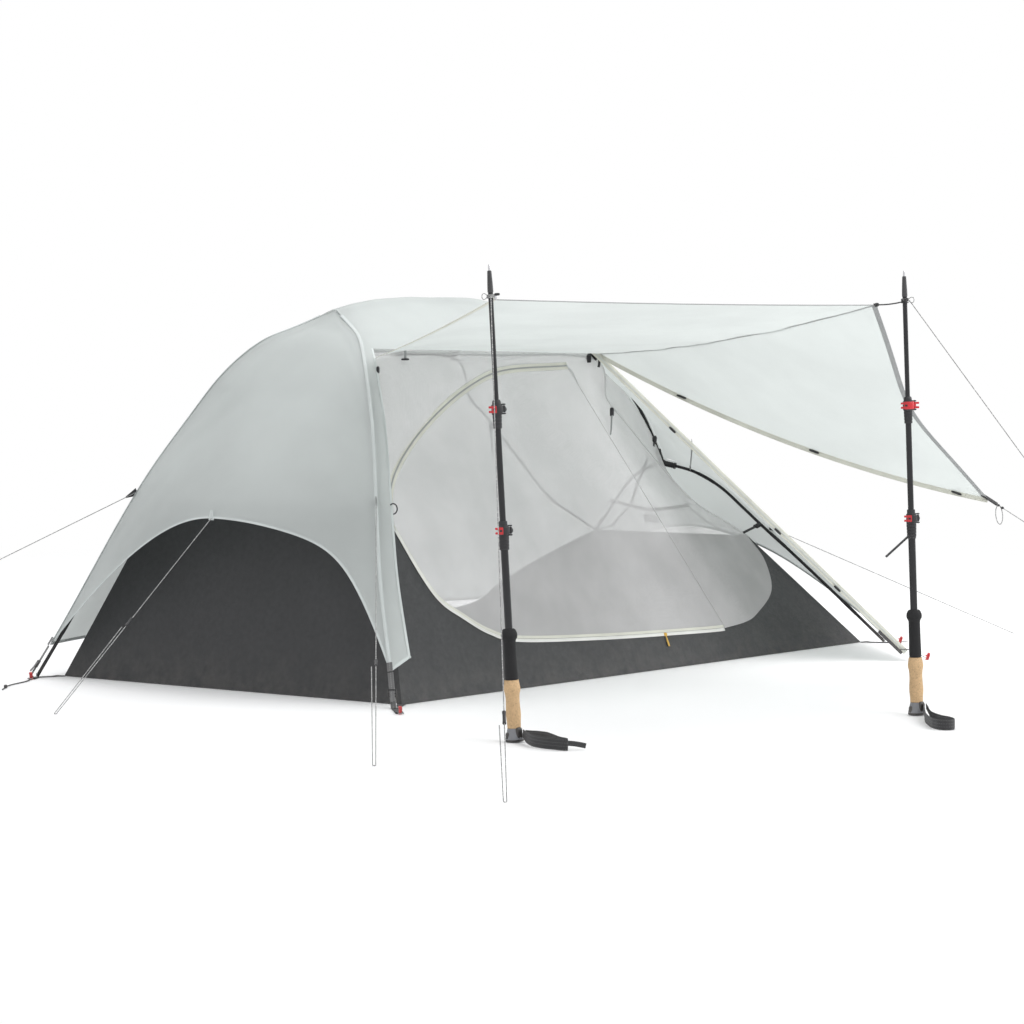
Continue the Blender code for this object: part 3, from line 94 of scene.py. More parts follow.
FLY_CORNER_HEIGHT = 0.086
HEM_FULLNESS = 10.0
HEM_ROUND_HEAD = (0.3, 0.8)
HEM_ROUND_FOOT = (0.45, 0.45)
HEAD_ARCH_HEIGHT = 0.44
HEAD_ARCH_BULGE = 0.135
FOOT_ARCH_HEIGHT = 0.33
FOOT_ARCH_BULGE = 0.03
WING_HEM_RISE = -0.01
EAVE_HEIGHT = 0.87
EAVE_LIFT = 0.009
STRIP_TOP_WIDTH = 0.04
STRIP_BOTTOM_WIDTH = 0.066
BACK_HEM_OUT = 0.19
BACK_SPLIT = 0.56
WING_CORNER = (1.735, -0.983, 0.03)
POLE_FEET = ((-0.426, 0.672), (0.575, 1.108))
POLE_LEANS = ((-0.035, 0.045), (-0.022, 0.03))
POLE_LENGTH = 1.052
LOOP_REACH = (0.03, 0.072)
LOOP_HEIGHT = 0.982
AWNING_TIP = (1.44, -1.395, 0.476)
AWNING_FOLD_SAG = 0.022
AWNING_EDGE_INSET = 0.085
AWNING_HEM_SAG = 0.045
AWNING_FOLD = 60
GRIP_RADIUS = 0.0165
SHAFT_RADII = (0.0085, 0.007, 0.0055)
SHAFT_TOPS = (0.455, 0.722)
SHAFT_FEET = (0.28, 0.52)
FERRULE_TOP = 1.038
LOCK_RADIUS = 0.0122
LEVER_THICKNESS = 0.0026
LEVER_BEARING = -52.6
KNUCKLE_RADIUS = 0.003
CORD_RADIUS = 0.0011
STAKE_LINE_HEIGHT = 0.0045
LEG_TAB_HEIGHT = 0.49
FOOT_TAB_HEIGHT = 0.335
HAIRPIN_WIDTH = 0.0066
TENSIONER_LENGTH = 0.03
TENSIONER_RADIUS = 0.0042
# The stakes' places along and across, and the tensioners' distances from the first three
GUY_STAKES = (
    (-0.664, -0.067),
    (-0.942, -1.283),
    (-1.201, -1.824),
    (-0.7, 1.03),
    (1.0, -2.24),
    (1.846, -2.002),
    (2.65, -0.82),
)
TENSIONERS_FROM_STAKE = (0.34, 0.495, 0.2)
# Bows of the legs: shares of the way along, across and up, at stations from hub to foot
HEAD_LEG_SHAPE = (
    (0.106, 0.165, 0.953),
    (0.19, 0.262, 0.922),
    (0.262, 0.33, 0.882),
    (0.344, 0.405, 0.82),
    (0.454, 0.508, 0.706),
    (0.592, 0.619, 0.566),
    (0.705, 0.708, 0.432),
    (0.812, 0.798, 0.288),
    (0.9, 0.89, 0.154),
)
FOOT_LEG_SHAPE = (
    (0.14, 0.15, 0.95),
    (0.253, 0.269, 0.865),
    (0.356, 0.37, 0.751),
    (0.452, 0.466, 0.638),
    (0.552, 0.568, 0.525),
    (0.776, 0.795, 0.26),
)
# The shoulder seam behind the brow: shares of the way along, of the width and of the height
SHOULDER_SHAPE = (
    (0.093, 0.98, 0.79),
    (0.215, 0.95, 0.661),
    (0.47, 0.93, 0.386),
    (0.655, 0.96, 0.205),
    (0.86, 1.0, 0.083),
)
# For each row of the canopy, 0 for a parabola across and 1 for two hollow slopes
CANOPY_HOLLOW = (0.3, 0.0, 0.2, 0.45, 0.75, 1.0, 1.0, 1.0)
# Distances from the head corner, or from the foot end on the foot side, each with its height
SILL_HEAD_SIDE = (
    (0.022, 0.433), (0.084, 0.307), (0.133, 0.236), (0.207, 0.191), (0.291, 0.146), (0.403, 0.12)
)
SILL_FOOT_SIDE = ((0.535, 0.093), (0.444, 0.11), (0.274, 0.165), (0.169, 0.245))
DOOR_ARC = ((0.022, 0.452), (0.087, 0.53), (0.252, 0.625), (0.412, 0.71), (0.557, 0.77), (0.695, 0.808))
DOOR_TOP_BELOW_EAVE = 0.04
HINGE_FOOT_FROM_FOOT = 0.655
HINGE_TOP_FROM_HEAD = 1.127
# Where the back wall's level edge starts and ends, and its height
BACK_SILL = (0.62, 1.637, 0.084)
SLIDER_SHARE = 0.8
SILL_START = 0.337
SILL_END = 0.245
SILL_FALL_SHARE = 0.65
TAPE_THICKNESS = 0.0014
WAVE_LENGTHS = (0.34, 0.21, 0.13)
LOCK_ABOVE_SHAFT = 0.012
HINGE_FROM_AXIS = LOCK_RADIUS + CONTACT_GAP + KNUCKLE_RADIUS + 0.0008

# Camera and studio
CAMERA_SPOT = (-7.088, -5.515, 0.853)
CAMERA_WAY = (0.7935, 0.6066, -0.049)
CAMERA_LENS = 112.5
GROUND_REACH = 40.0
SOFT_SKY = (0.98, 0.985, 1.0, 1.0)
SOFT_SKY_POWER = 0.8
GROUND_GLOW = 0.08
GROUND_FADE = (2.6, 5.5)
# Lamps: name, place, what it looks at, power in watts and size
LAMPS = (
    ("key", (-0.6, -5.6, 4.6), (0.0, 0.0, 0.4), 130.0, 3.6),
    ("top", (0.8, 0.6, 5.5), (0.0, 0.0, 0.3), 158.0, 4.5),
    ("fill", (3.8, -5.0, 2.6), (0.2, -0.6, 0.5), 90.0, 3.0),
)

FRONT = -1.0
BACK = 1.0
WHITE = (1.0, 1.0, 1.0, 1.0)
CLOTH_DUST = (0.42, 0.38, 0.33, 1.0)
HARD_DUST = (0.4, 0.36, 0.31, 1.0)


# Points, curves and grids


def place(t, y, z):
    """Points from their distances along the tent, their sides and their heights."""
    return np.stack(np.broadcast_arrays(np.asarray(t, float) - FLOOR_LENGTH / 2, y, z), -1).astype(float)


def vec(*values):
    return np.array(values, float)


def mm(*points):
    """Points from millimetres."""
    return np.array(points) / 1000


def unit(v):
    return v / np.maximum(np.linalg.norm(v, axis=-1, keepdims=True), 1e-12)


UP = vec(0, 0, 1)
FLAT = vec(1, 1, 0)


def column(count, low=0, high=1):
    """Evenly spaced shares as a column."""
    return np.linspace(low, high, count)[:, None]


def hops(points, axis=0):
    """Distances between neighbouring points along an axis of the array."""
    return np.linalg.norm(np.diff(points, axis=axis), axis=-1)


def mirrored(points):
    return points * vec(1, -1, 1)


def smooth(points, steps=24):
    """A centripetal Catmull-Rom curve: each span blends its four neighbouring points by
    root-distance knots."""
    p = np.asarray(points, float)
    p = np.vstack([2 * p[0] - p[1], p, 2 * p[-1] - p[-2]])
    out = []
    for a, b, c, d in zip(p, p[1:], p[2:], p[3:]):
        tb = math.sqrt(np.linalg.norm(b - a))
        tc = tb + math.sqrt(np.linalg.norm(c - b))
        td = tc + math.sqrt(np.linalg.norm(d - c))
        t = tb + (tc - tb) * np.arange(steps)[:, None] / steps
        ab = a + (b - a) * t / tb
        bc = b + (c - b) * (t - tb) / (tc - tb)
        cd = c + (d - c) * (t - tc) / (td - tc)
        abc = ab + (bc - ab) * t / tc
        bcd = bc + (cd - bc) * (t - tb) / (td - tb)
        out.append(abc + (bcd - abc) * (t - tb) / (tc - tb))
    return np.vstack([*out, p[-2:-1]])


class Way:
    """A curve as an array of samples, read by the share of its length or by height."""

    def __init__(self, samples):
        self.samples = np.asarray(samples, float)
        steps = hops(self.samples)
        self.marks = np.concatenate([[0.0], np.cumsum(steps)])
        self.length = float(self.marks[-1])

    def at(self, shares):
        s = np.clip(shares, 0, 1) * self.length
        return np.stack([np.interp(s, self.marks, self.samples[:, k]) for k in range(3)], -1)

    def share_at_height(self, heights):
        """Shares where a falling curve reaches the heights."""
        z = self.samples[:, 2]
        top = int(np.argmax(z))
        return np.interp(-np.asarray(heights, float), -z[top:], self.marks[top:]) / self.length

    def at_height(self, height):
        return self.at(self.share_at_height(height))

    def even(self, count):
        return self.at(np.linspace(0, 1, count))

    def between(self, low, high, count):
        """Even points between two heights of a falling curve."""
        return self.at(np.linspace(*self.share_at_height([low, high]), count))


def cubic(count, fine):
    """Weights that take evenly numbered stations to more points on the smooth curves through them."""
    x = np.linspace(0, count - 1, fine)
    i = np.minimum(x.astype(int), count - 2)
    t = x - i
    w = np.zeros((fine, count + 2))
    rows = np.arange(fine)
    w[rows, i] += ((2 - t) * t - 1) * t / 2
    w[rows, i + 1] += ((3 * t - 5) * t * t + 2) / 2
    w[rows, i + 2] += ((4 - 3 * t) * t + 1) * t / 2
    w[rows, i + 3] += (t - 1) * t * t / 2
    m = w[:, 1:-1].copy()
    m[:, 0] += 2 * w[:, 0]
    m[:, 1] -= w[:, 0]
    m[:, -1] += 2 * w[:, -1]
    m[:, -2] -= w[:, -1]
    return m


def finer(grid, rows, columns):
    """A grid of stations made finer by smooth curves both ways."""
    g = np.asarray(grid, float)
    return np.einsum("ai,ijk,bj->abk", cubic(len(g), rows), g, cubic(g.shape[1], columns))


def fine_line(points, count):
    """More points on the smooth curve through a few stations."""
    return cubic(len(points), count) @ points


def ruled(a, b, rows):
    """Straight lines from each point of one edge to its match on the other."""
    s = np.linspace(0, 1, rows)[:, None, None]
    return a[None] * (1 - s) + b[None] * s


def coons(top, bottom, left, right):
    """The patch that fills four edges: both ruled surfaces less the plane through the corners."""
    v = np.linspace(0, 1, len(left))[:, None, None]
    u = np.linspace(0, 1, len(top))[None, :, None]
    across = left[:, None] * (1 - u) + right[:, None] * u
    down = top[None] * (1 - v) + bottom[None] * v
    corners = (top[0] * (1 - u) + top[-1] * u) * (1 - v) + (bottom[0] * (1 - u) + bottom[-1] * u) * v
    return across + down - corners


def normals_of(grid):
    """Unit normals of a grid from its differences along and across."""
    along = np.gradient(grid, axis=0)
    across = np.gradient(grid, axis=1)
    n = np.cross(across, along)
    flat = np.linalg.norm(n, axis=-1) < 1e-12
    n[flat] = unit(n.sum((0, 1)))
    return unit(n)


def metres(grid):
    """Lengths along the rows and down the columns, as flat coordinates in metres."""
    u = np.zeros(grid.shape[:2])
    v = np.zeros(grid.shape[:2])
    u[:, 1:] = np.cumsum(hops(grid, 1), axis=1)
    v[1:] = np.cumsum(hops(grid), axis=0)
    u -= u[:, -1:] / 2
    return np.stack([u, v], -1)


def rumpled(grid, depth, seed):
    """Soft waves along the normals, as sums of sines of the flat coordinates that fade out towards
    every edge."""
    rng = np.random.default_rng(seed)
    uv = metres(grid)
    wave = np.zeros(grid.shape[:2])
    for k, length in enumerate(WAVE_LENGTHS):
        turn = rng.uniform(0, math.pi, 2)
        for angle in turn:
            phase = rng.uniform(0, math.tau)
            bend = 0.35 * np.sin(
                uv @ vec(math.sin(angle), math.cos(angle)) * math.tau / (length * 2.7) + phase
            )
            wave += np.sin(uv @ vec(math.cos(angle), math.sin(angle)) * math.tau / length + phase + bend) / (k + 1.5)
    a = np.linspace(0, 1, grid.shape[0])[:, None]
    b = np.linspace(0, 1, grid.shape[1])[None]
    fade = np.clip(7 * a * (1 - a), 0, 1) * np.clip(7 * b * (1 - b), 0, 1)
    return grid + normals_of(grid) * (wave * fade * depth)[..., None]


# Shapes of the frame, the inner tent and the flysheet


def head_hub():
    return place(HEAD_HUB_INSET, 0, HEAD_HUB_HEIGHT)


def foot_hub():
    return place(FLOOR_LENGTH - FOOT_HUB_INSET, 0, FOOT_HUB_HEIGHT)


def leg_way(hub, foot, shape):
    """From a hub to a foot through the shares that give the leg its bow."""
    along, across, high = np.array(shape).T
    bow = [hub[0] + (foot[0] - hub[0]) * along, foot[1] * across, foot[2] + (hub[2] - foot[2]) * high]
    bow = np.stack(bow, -1)
    tilt = unit(foot - bow[-1])[2]
    lift = STRAP_THICKNESS + CONTACT_GAP + POLE_RADIUS * math.sqrt(1 - tilt * tilt)
    return Way(smooth(np.vstack([hub, bow, foot + UP * lift])))


def head_leg(side):
    return leg_way(
        head_hub(), place(-HEAD_LEG_OUT[0], side * (HALF_WIDTH + HEAD_LEG_OUT[1]), 0), HEAD_LEG_SHAPE
    )


def foot_leg(side):
    foot = place(FLOOR_LENGTH + FOOT_LEG_OUT[0], side * (HALF_WIDTH + FOOT_LEG_OUT[1]), 0)
    return leg_way(foot_hub(), foot, FOOT_LEG_SHAPE)


def ridge_way():
    """A Bezier curve from hub to hub."""
    rise = math.radians(RIDGE_HEAD_RISE)
    fall = math.radians(RIDGE_FOOT_FALL)
    a = head_hub()
    d = foot_hub()
    b = a + vec(math.cos(rise), 0, math.sin(rise)) * RIDGE_HEAD_PULL
    c = d - vec(math.cos(fall), 0, -math.sin(fall)) * RIDGE_FOOT_PULL
    s = column(121)
    return Way(a * (1 - s) ** 3 + b * 3 * s * (1 - s) ** 2 + c * 3 * s * s * (1 - s) + d * s**3)


RIDGE = ridge_way()


def ridge_height(t):
    return np.interp(np.asarray(t) - FLOOR_LENGTH / 2, RIDGE.samples[:, 0], RIDGE.samples[:, 2])


def brow_way():
    """A shallow bow under the ridge pole."""
    centre = ridge_height(BROW_FROM_HEAD) - 2 * POLE_RADIUS - CONTACT_GAP
    s = np.linspace(-1, 1, 41)
    return Way(place(BROW_FROM_HEAD, BROW_SPAN / 2 * s, centre - BROW_END_DROP * s * s))


def inner_leg(side):
    inset = INNER_INSET_SIDE + (BACK_INSET_MORE if side == BACK else 0.0)
    return Way(head_leg(side).samples + vec(INNER_INSET_END, -side * inset, 0))


def head_corner(side):
    return inner_leg(side).at_height(HEAD_WALL_HEIGHT)


INNER_EAVE = EAVE_HEIGHT - CANOPY_DROP
HEAD_LEAN = float(head_corner(FRONT)[0]) + FLOOR_LENGTH / 2


def end_seam(side, count):
    """Up the inner tent's end seam from the head wall's corner to the eave."""
    return inner_leg(side).between(HEAD_WALL_HEIGHT, INNER_EAVE, count)


def crown_seam(side, count):
    """From the eave over to the middle of the head arch, sinking as it nears the middle."""
    way = inner_leg(side)
    points = way.at(np.linspace(float(way.share_at_height(INNER_EAVE)), 0, count))
    drop = np.linspace(0, 1, count)
    points[:, 2] -= CANOPY_DROP * drop
    points[:, 1] -= points[-1, 1] * drop
    return points


def foot_corner(side):
    return place(FLOOR_LENGTH - FOOT_WALL_LEAN, side * FOOT_WALL_TOP_WIDTH / 2, FOOT_WALL_HEIGHT)


def brow_corner(side):
    end = brow_way().at(1.0)
    return vec(end[0], side * (end[1] - INNER_INSET_SIDE), end[2] - CANOPY_DROP + EAVE_LIFT)


def shoulder_seam(side):
    """The canopy's side seam: straight along the eave, then by shares of the fall from the brow to
    the foot wall."""
    start = end_seam(side, 2)[-1]
    brow = brow_corner(side)
    foot = foot_corner(side)
    eave = np.linspace(start, brow, 3)
    share = np.array(SHOULDER_SHAPE)
    x = brow[0] + (foot[0] - brow[0]) * share[:, 0]
    wide = brow[1] * share[:, 1]
    y = wide + (foot[1] - wide) * share[:, 0]
    z = foot[2] + (brow[2] - foot[2]) * share[:, 2]
    return np.vstack([eave, np.stack([x, y, z], -1), foot])


def side_point(side, t, z):
    """Points of the inner tent's side surface, whose lean changes along the tent."""
    marks = np.vstack([head_corner(side), shoulder_seam(side)])
    lean = (HALF_WIDTH - np.abs(marks[:, 1])) / marks[:, 2]
    k = np.interp(t, marks[:, 0] + FLOOR_LENGTH / 2, lean)
    return place(t, side * (HALF_WIDTH - np.asarray(z) * k), z)


def sill_point(share):
    start = HEAD_LEAN + SILL_HEAD_SIDE[-1][0] + SILL_START
    end = FLOOR_LENGTH - HINGE_FOOT_FROM_FOOT - SILL_END
    return side_point(FRONT, start + (end - start) * share, SILL_HEIGHT - SILL_DROP * share * SILL_FALL_SHARE)


def front_wall_top():
    """The front wall's top edge as stations: down the door's zip, along the sill and up to the
    foot corner."""
    head = np.array(SILL_HEAD_SIDE)
    foot = np.array(SILL_FOOT_SIDE)
    return np.vstack(
        [
            head_corner(FRONT),
            side_point(FRONT, HEAD_LEAN + head[:, 0], head[:, 1]),
            sill_point(0.0),
            sill_point(1.0),
            side_point(FRONT, FLOOR_LENGTH - HINGE_FOOT_FROM_FOOT, SILL_HEIGHT - SILL_DROP),
            side_point(FRONT, FLOOR_LENGTH - foot[:, 0], foot[:, 1]),
            foot_corner(FRONT),
        ]
    )


def back_wall_top():
    """The back wall's top edge as stations: down from the head corner, level, and up to the foot corner."""
    first = head_corner(BACK)
    last = foot_corner(BACK)
    low_head, low_foot, low = BACK_SILL
    start = first[0] + FLOOR_LENGTH / 2
    end = last[0] + FLOOR_LENGTH / 2
    share = vec(0.5, 1.0)
    rise = vec(0.33, 0.67)
    return np.vstack(
        [
            first,
            side_point(BACK, start + (low_head - start) * share, first[2] + (low - first[2]) * share),
            side_point(BACK, (low_head + low_foot) / 2, low),
            side_point(BACK, low_foot, low),
            side_point(BACK, low_foot + (end - low_foot) * rise, low + (last[2] - low) * rise),
            last,
        ]
    )


def hinge_line():
    top = side_point(FRONT, HINGE_TOP_FROM_HEAD, INNER_EAVE - DOOR_TOP_BELOW_EAVE)
    bottom = side_point(FRONT, FLOOR_LENGTH - HINGE_FOOT_FROM_FOOT, SILL_HEIGHT - SILL_DROP)
    return top, bottom


def door_arc():
    arc = np.array(DOOR_ARC)
    return Way(smooth(np.vstack([side_point(FRONT, HEAD_LEAN + arc[:, 0], arc[:, 1]), hinge_line()[0]])))


def base_under(top):
    """Points along the floor's edge under a wall's top edge, in the same shares."""
    share = (top[:, 0] - top[0, 0]) / (top[-1, 0] - top[0, 0])
    return place(FLOOR_LENGTH * share, math.copysign(HALF_WIDTH, top[1, 1]), CLOTH + CONTACT_GAP)


def canopy_stations():
    """Rows across the canopy from the head arch to the foot wall: parabolas that turn into two
    hollow slopes."""
    crown = crown_seam(FRONT, 6)
    first = np.vstack([crown, crown_seam(BACK, 6)[-2::-1]])
    edges = shoulder_seam(FRONT)[1:]
    middle = np.maximum(ridge_height(edges[:, 0] + FLOOR_LENGTH / 2) - POLE_RADIUS - RIDGE_DROP, edges[:, 2])
    middle[-1] = edges[-1, 2]
    s = np.linspace(-1, 1, len(first))
    rows = np.zeros((len(edges), len(first), 3))
    rows[..., 0] = edges[:, :1]
    rows[..., 1] = np.abs(edges[:, 1:2]) * s
    hollow = np.array(CANOPY_HOLLOW)[:, None]
    rise = (1 - s * s) * (1 - hollow) + (1 - np.abs(s)) ** 2 * hollow
    rows[..., 2] = edges[:, 2:] + (middle[:, None] - edges[:, 2:]) * rise
    return np.concatenate([first[None], rows])


def canopy_grid():
    return finer(canopy_stations(), 81, 61)


def surround_loops():
    """The fixed netting round the door: its outer edge and the matching points of the door's edge."""
    top = front_wall_top()
    outer = np.vstack([end_seam(FRONT, 6), shoulder_seam(FRONT)[1:], top[-2:8:-1]])
    hinge_top, hinge_bottom = hinge_line()
    arc = door_arc().even(8)
    rest = len(outer) - 8
    share = (np.arange(rest)[:, None] + 1) / rest
    return outer, np.vstack([arc, hinge_top + (hinge_bottom - hinge_top) * share])


def door_rows(rows, columns):
    """The D-shaped door: straight lines from its edge to the hinge line."""
    hinge_top, hinge_bottom = hinge_line()
    sill = Way(smooth(np.vstack([hinge_bottom, front_wall_top()[8:0:-1]]))).even(columns // 2)
    arc = door_arc().even(columns - columns // 2 + 1)[1:]
    edge = np.vstack([sill, arc])
    return ruled(edge, np.linspace(hinge_bottom, hinge_top, len(edge)), rows)


def fly_over(way, outward):
    """A pole's curve moved outwards by the room between pole and cloth, with a little more at its hub."""
    along = unit(np.gradient(way.samples, axis=0))
    out = unit(outward - along * (along @ outward)[:, None])
    lift = FLY_LIFT + HUB_LIFT * np.exp(-((way.marks / HUB_LIFT_REACH) ** 2))
    return Way(way.samples + out * lift[:, None])


def head_seam_out(side):
    return vec(-0.75, 0.55 * side, 0.65)


def fly_head_leg(side):
    return fly_over(head_leg(side), head_seam_out(side))


def fly_foot_leg(side):
    return fly_over(foot_leg(side), vec(0.6, 0.35 * side, 0.75))


def fly_ridge(t):
    return place(t, 0, ridge_height(t) + FLY_LIFT)


def low_seam(side, count):
    """The head leg's fly seam from its corner up to the eave."""
    return fly_head_leg(side).between(FLY_CORNER_HEIGHT, EAVE_HEIGHT, count)


def arched_panel(way, low, high, rows, crown, columns, height, bulge, outward, top, rounds):
    """An end panel between two legs, whose hem arches up at the middle.

    Rows run across it at shares of the seam, and it swells outwards by a parabola across.
    """
    corner = way.at(low)[2]
    hem_share = float(way.share_at_height(height))
    u = np.linspace(-1, 1, columns)
    flat = np.where(u < 0, *rounds)
    hem = corner + (height - corner) * (1 - flat * u * u - (1 - flat) * np.abs(u) ** HEM_FULLNESS)
    start = way.share_at_height(hem)
    s = column(rows)
    share = start * (1 - s) + high * s
    if crown:
        share = np.vstack(
            [share, np.broadcast_to(np.linspace(high, 0, crown)[1:, None], (crown - 1, columns))]
        )
    p = way.at(share)
    swell = bulge * (1 - u * u) * np.minimum(share / hem_share, 1.0) ** 1.3
    grid = np.stack([p[..., 0] + outward * swell, np.abs(p[..., 1]) * u, p[..., 2]], -1)
    pull = np.clip(1 - share / 0.06, 0, 1)[..., None]
    return grid * (1 - pull) + top * pull


def foot_seam(side, count):
    """The foot leg's fly seam from the hub down to the fly's corner."""
    way = fly_foot_leg(side)
    points = way.at(np.linspace(0, float(way.share_at_height(FLY_CORNER_HEIGHT)), count))
    points[0] = foot_hub() + vec(FLY_LIFT + HUB_LIFT, 0, FLY_LIFT) * 0.9
    return points


def ridge_seam(side):
    """Stations along the fly's ridge from the brow pole to the foot hub."""
    s = np.linspace(0, 0.955, 9)
    end = FLOOR_LENGTH - FOOT_HUB_INSET
    points = fly_ridge(BROW_FROM_HEAD + (end - BROW_FROM_HEAD) * s**0.8)
    bend = column(9)
    points = points + vec(0.6, 0, 0.25) * FLY_LIFT * bend + vec(0, side * 0.0003, 0)
    return np.vstack([points, foot_seam(side, 2)[0]])


def eave_head(side):
    return low_seam(side, 2)[-1]


def eave_brow(side):
    end = brow_way().at(1.0)
    return vec(end[0], side * (end[1] + FLY_LIFT), end[2] + FLY_LIFT * 0.6 + EAVE_LIFT)


def brow_seam(side, count):
    """The fly across the brow pole, from the ridge to the eave: a mean of a line and a parabola."""
    top = fly_ridge(BROW_FROM_HEAD)
    low = eave_brow(side)
    s = np.linspace(0, 1, count)
    fall = 0.35 * s + 0.65 * s * s
    return np.stack([np.full(count, top[0]), low[1] * s, top[2] + (low[2] - top[2]) * fall], -1)


def roof_grid(rows, columns):
    """The roof: straight lines from the head arch to the brow seam, raised to follow the ridge at
    its middle."""
    half = columns // 2 + 1
    way = fly_head_leg(FRONT)
    arch = way.at(np.linspace(float(way.share_at_height(EAVE_HEIGHT)), 0, half))
    arch[-1] = fly_ridge(HEAD_HUB_INSET)
    start = np.vstack([arch, mirrored(arch[-2::-1])])
    brow = brow_seam(FRONT, half)
    grid = ruled(start, np.vstack([brow[::-1], mirrored(brow[1:])]), rows)
    middle = half - 1
    rise = ridge_height(grid[:, middle, 0] + FLOOR_LENGTH / 2) + FLY_LIFT - grid[:, middle, 2]
    away = np.abs(np.arange(grid.shape[1]) - middle) / middle
    grid[..., 2] += rise[:, None] * (1 - away)
    return grid


def strip_edge(count):
    """The narrow strip's free edge: the seam moved by a width that changes evenly from its foot to
    its top."""
    seam = low_seam(FRONT, count)
    eave = eave_brow(FRONT) - eave_head(FRONT)
    top = unit(eave) * STRIP_TOP_WIDTH
    s = column(count)
    return seam + top * s + vec(STRIP_BOTTOM_WIDTH, -0.008, 0.03) * (1 - s)


def back_hem(share):
    """The back panel's hem: a straight line that swells outwards by a power of the distance from
    its middle."""
    start = low_seam(BACK, 2)[0]
    end = foot_seam(BACK, 2)[-1]
    share = np.asarray(share, float)
    flare = BACK_HEM_OUT * (1 - np.abs(2 * share - 1) ** 2.5)
    return start + (end - start) * share[:, None] + flare[:, None] * vec(0, 1, 0)


def back_grids():
    """The back panel's two parts: under the eave, and under the brow and the ridge."""
    start = eave_head(BACK)
    end = eave_brow(BACK)
    shoulder = np.linspace(start, end, 41)
    low = back_hem(BACK_SPLIT * np.linspace(0, 1, 41))
    seam = low_seam(BACK, 49)[::-1]
    drop = np.linspace(end, low[-1], 49)
    ridge = fine_line(ridge_seam(BACK), 55)
    rest = back_hem(BACK_SPLIT + (1 - BACK_SPLIT) * np.linspace(0, 1, 55))
    side = np.vstack([brow_seam(BACK, 25), (np.linspace(end, low[-1], 31))[1:]])
    side[0] = ridge[0]
    return coons(shoulder, low, seam, drop), coons(ridge, rest, side, foot_seam(BACK, 55))


def wing_grid():
    """The front panel of the foot end out to its open zip edge: a patch of four edges, drawn tight
    off its edges."""
    ridge = fine_line(ridge_seam(FRONT), 55)
    corner = place(*WING_CORNER)
    leg = foot_seam(FRONT, 55)
    brow = brow_seam(FRONT, 25)
    zip_edge = np.linspace(brow[-1], corner, 31)
    side = np.vstack([brow, zip_edge[1:]])
    side[0] = ridge[0]
    s = column(55)
    hem = corner + (leg[-1] - corner) * s + vec(0, 0, WING_HEM_RISE) * 4 * s * (1 - s)
    full = coons(ridge, hem, side, leg)
    taut = np.clip(8 * s * (1 - s), 0, 1)[..., None] * 0.9
    return full * (1 - taut) + ruled(side, leg, 55).transpose(1, 0, 2) * taut


class TrekkingPole:
    """A trekking pole that stands on its grip; heights are distances from the grip's end along its axis."""

    def __init__(self, number):
        self.number = number
        t, out = POLE_FEET[number - 1]
        self.way = unit(vec(*POLE_LEANS[number - 1], POLE_LENGTH))
        self.axes = turn_to(self.way)
        self.foot = place(t, -(HALF_WIDTH + out), GRIP_RADIUS * 1.2 * math.sqrt(1 - self.way[2] ** 2))

    def at(self, heights):
        return self.foot + self.way * np.asarray(heights, float)[..., None]

    def rows(self, bearing):
        """Outwards, sideways and upwards, for a bearing in degrees."""
        b = math.radians(bearing)
        across = vec(math.cos(b), math.sin(b), 0), vec(-math.sin(b), math.cos(b), 0)
        return np.stack([self.axes @ across[0], self.axes @ across[1], self.axes[:, 2]])

    def round(self, heights, radius, bearings):
        """Points round the axis, from their heights, radii and bearings in degrees."""
        b = np.radians(bearings)
        flat = np.stack(np.broadcast_arrays(radius * np.cos(b), radius * np.sin(b), 0.0), -1)
        return self.at(heights) + flat @ self.axes.T

    def lathed(self, profile, closed=False, kind=0, sides=64):
        return turned(profile, sides, closed, kind, self.axes, self.foot)


def turn_to(way):
    """The turn that takes Z to a direction, as three columns."""
    return np.array(Vector((0, 0, 1)).rotation_difference(Vector(way)).to_matrix())


POLES = (TrekkingPole(1), TrekkingPole(2))


def awning_corner(number):
    reach = LOOP_REACH[number - 1]
    pole = POLES[number - 1].at(LOOP_HEIGHT)
    aim = place(0.35, -0.75, 0) - pole * FLAT
    return pole + unit(aim) * reach - UP * (0.003 + 0.1 * reach)


def awning_grids():
    """The awning: lines from the eave to its front edge, then a fan about the brow corner, all
    sagging as parabolas."""
    eave_start = strip_edge(3)[-1]
    eave_end = eave_brow(FRONT)
    first = awning_corner(1)
    second = awning_corner(2)
    third = place(*AWNING_TIP)
    centre = (eave_end + second + third) / 3
    s = column(AWNING_FOLD + 1)
    near = eave_start + (eave_end - eave_start) * s - UP * 0.026 * np.clip(1 - s * 5, 0, 1) ** 2
    far = first + (second - first) * s - UP * 0.016 * s * (1 - s)
    sag = AWNING_FOLD_SAG * (0.3 + 0.7 * s)
    chord = second + (third - second) * s[1:]
    swing = chord + unit(centre - chord) * AWNING_EDGE_INSET * 4 * s[1:] * (1 - s[1:])
    near = np.vstack([near, np.broadcast_to(eave_end, swing.shape)])
    far = np.vstack([far, swing])
    sag = np.vstack([sag, AWNING_FOLD_SAG + (AWNING_HEM_SAG - AWNING_FOLD_SAG) * s[1:]])
    r = np.linspace(0, 1, 49)[:, None, None]
    return near[None] * (1 - r) + far[None] * r - UP * 1 * sag[None] * 4 * r * (1 - r)


# Meshes from arrays


def grid_faces(rows, columns, wrap=False):
    """Four-cornered faces of a grid of points, closed round its columns where wrap is set."""
    across = columns if wrap else columns - 1
    i, j = np.meshgrid(np.arange(rows - 1), np.arange(across), indexing="ij")
    k = (j + 1) % columns
    corners = np.stack([i * columns + j, i * columns + k, (i + 1) * columns + k, (i + 1) * columns + j], -1)
    return corners.reshape(-1, 4).tolist()


